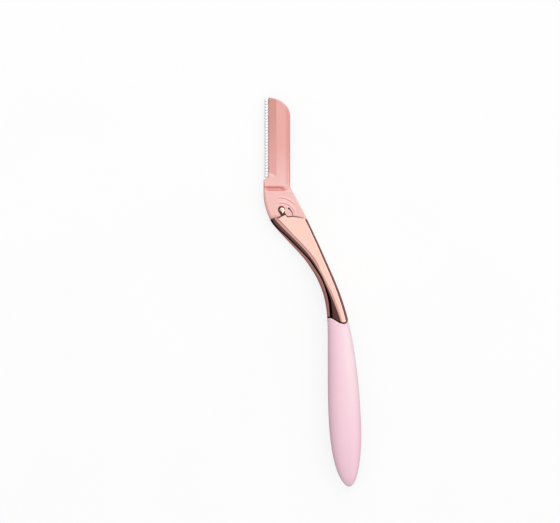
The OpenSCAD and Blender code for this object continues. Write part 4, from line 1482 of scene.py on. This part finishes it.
class RAZOR_OT_stage(bpy.types.Operator):
    """Sets the floor, the light and the camera above the razor"""
    bl_idname = "razor.stage"
    bl_label = "Floor, light and camera"

    def execute(self, context):
        """Sets the camera so that its frame is the photograph's at the scale of its plane."""
        scene = context.scene
        stage = scene.razor_stage
        scene.world = studio_world(stage)
        scene.view_settings.view_transform = "Standard"

        mesh = bpy.data.meshes.new("floor")
        corners = np.array([(-1, -1, 0), (1, -1, 0), (1, 1, 0), (-1, 1, 0)]) * FLOOR_REACH
        mesh.from_pydata(corners.tolist(), [], [(0, 1, 2, 3)])
        floor = bpy.data.objects.new("floor", mesh)
        floor.location.z = -FIT
        floor.visible_glossy = False
        floor.visible_diffuse = False
        mesh.materials.append(opal_light_table())
        scene.collection.objects.link(floor)

        key = bpy.data.lights.new("key", "AREA")
        key.shape = "DISK"
        key.size = KEY_SIZE
        key.energy = stage.key_power
        lamp = bpy.data.objects.new("key", key)
        lamp.location = KEY_AT
        lamp.visible_glossy = False
        lamp.rotation_euler = (-lamp.location).to_track_quat("-Z", "Y").to_euler()
        scene.collection.objects.link(lamp)

        camera = bpy.data.cameras.new("camera")
        camera.lens = stage.lens
        camera.sensor_width = SENSOR_W
        eye = bpy.data.objects.new("camera", camera)
        middle = (np.array(CAD_BOUNDS[0]) + np.array(CAD_BOUNDS[1])) / 2
        scale = MM_PER_PIXEL * MM
        width = PHOTO_SIZE[0] * scale
        eye.location = (
            middle[0] + (PHOTO_SIZE[0] / 2 - BOX_MIDDLE_PX[0]) * scale,
            middle[1] - (PHOTO_SIZE[1] / 2 - BOX_MIDDLE_PX[1]) * scale,
            SIGHT_Z + width * stage.lens / SENSOR_W,
        )
        camera.clip_start = 0.01
        camera.clip_end = 20
        scene.collection.objects.link(eye)
        scene.camera = eye
        return {"FINISHED"}


class RAZOR_PT_panel(bpy.types.Panel):
    """Lists the razor's pieces and its stage"""
    bl_idname = "RAZOR_PT_panel"
    bl_label = "Eyebrow Razor"
    bl_space_type = "VIEW_3D"
    bl_region_type = "UI"
    bl_category = "Razor"

    def draw(self, context):
        """A button for each operator, then a box of settings for each group."""
        for made in OPERATORS:
            self.layout.operator(made.bl_idname)
        for name in GROUPS:
            settings = getattr(context.scene, name)
            box = self.layout.box()
            box.label(text=name.replace("_", " ").title())
            for key in settings.__annotations__:
                box.prop(settings, key)


OPERATORS = (
    RAZOR_OT_stage, RAZOR_OT_head, RAZOR_OT_guard, RAZOR_OT_stud, RAZOR_OT_neck, RAZOR_OT_grip,
    RAZOR_OT_inside,
)
GROUPS = {
    "razor_head": RazorHead, "razor_neck": RazorNeck, "razor_grip": RazorGrip,
    "razor_guard": RazorGuard, "razor_looks": RazorLooks, "razor_stage": RazorStage,
}


def register():
    """Registers the groups, the operators and the panel."""
    for group in GROUPS.values():
        bpy.utils.register_class(group)
    for name, group in GROUPS.items():
        setattr(bpy.types.Scene, name, PointerProperty(type=group))
    for made in (*OPERATORS, RAZOR_PT_panel):
        bpy.utils.register_class(made)


def unregister():
    """Undoes what register did, in reverse order."""
    for made in (RAZOR_PT_panel, *OPERATORS):
        bpy.utils.unregister_class(made)
    for name, group in GROUPS.items():
        delattr(bpy.types.Scene, name)
        bpy.utils.unregister_class(group)


def main():
    """Makes everything in order."""
    register()
    bpy.ops.razor.stage()
    bpy.ops.razor.head()
    bpy.ops.razor.guard()
    bpy.ops.razor.stud()
    bpy.ops.razor.neck()
    bpy.ops.razor.grip()
    bpy.ops.razor.inside()


if __name__ == "__main__":
    main()
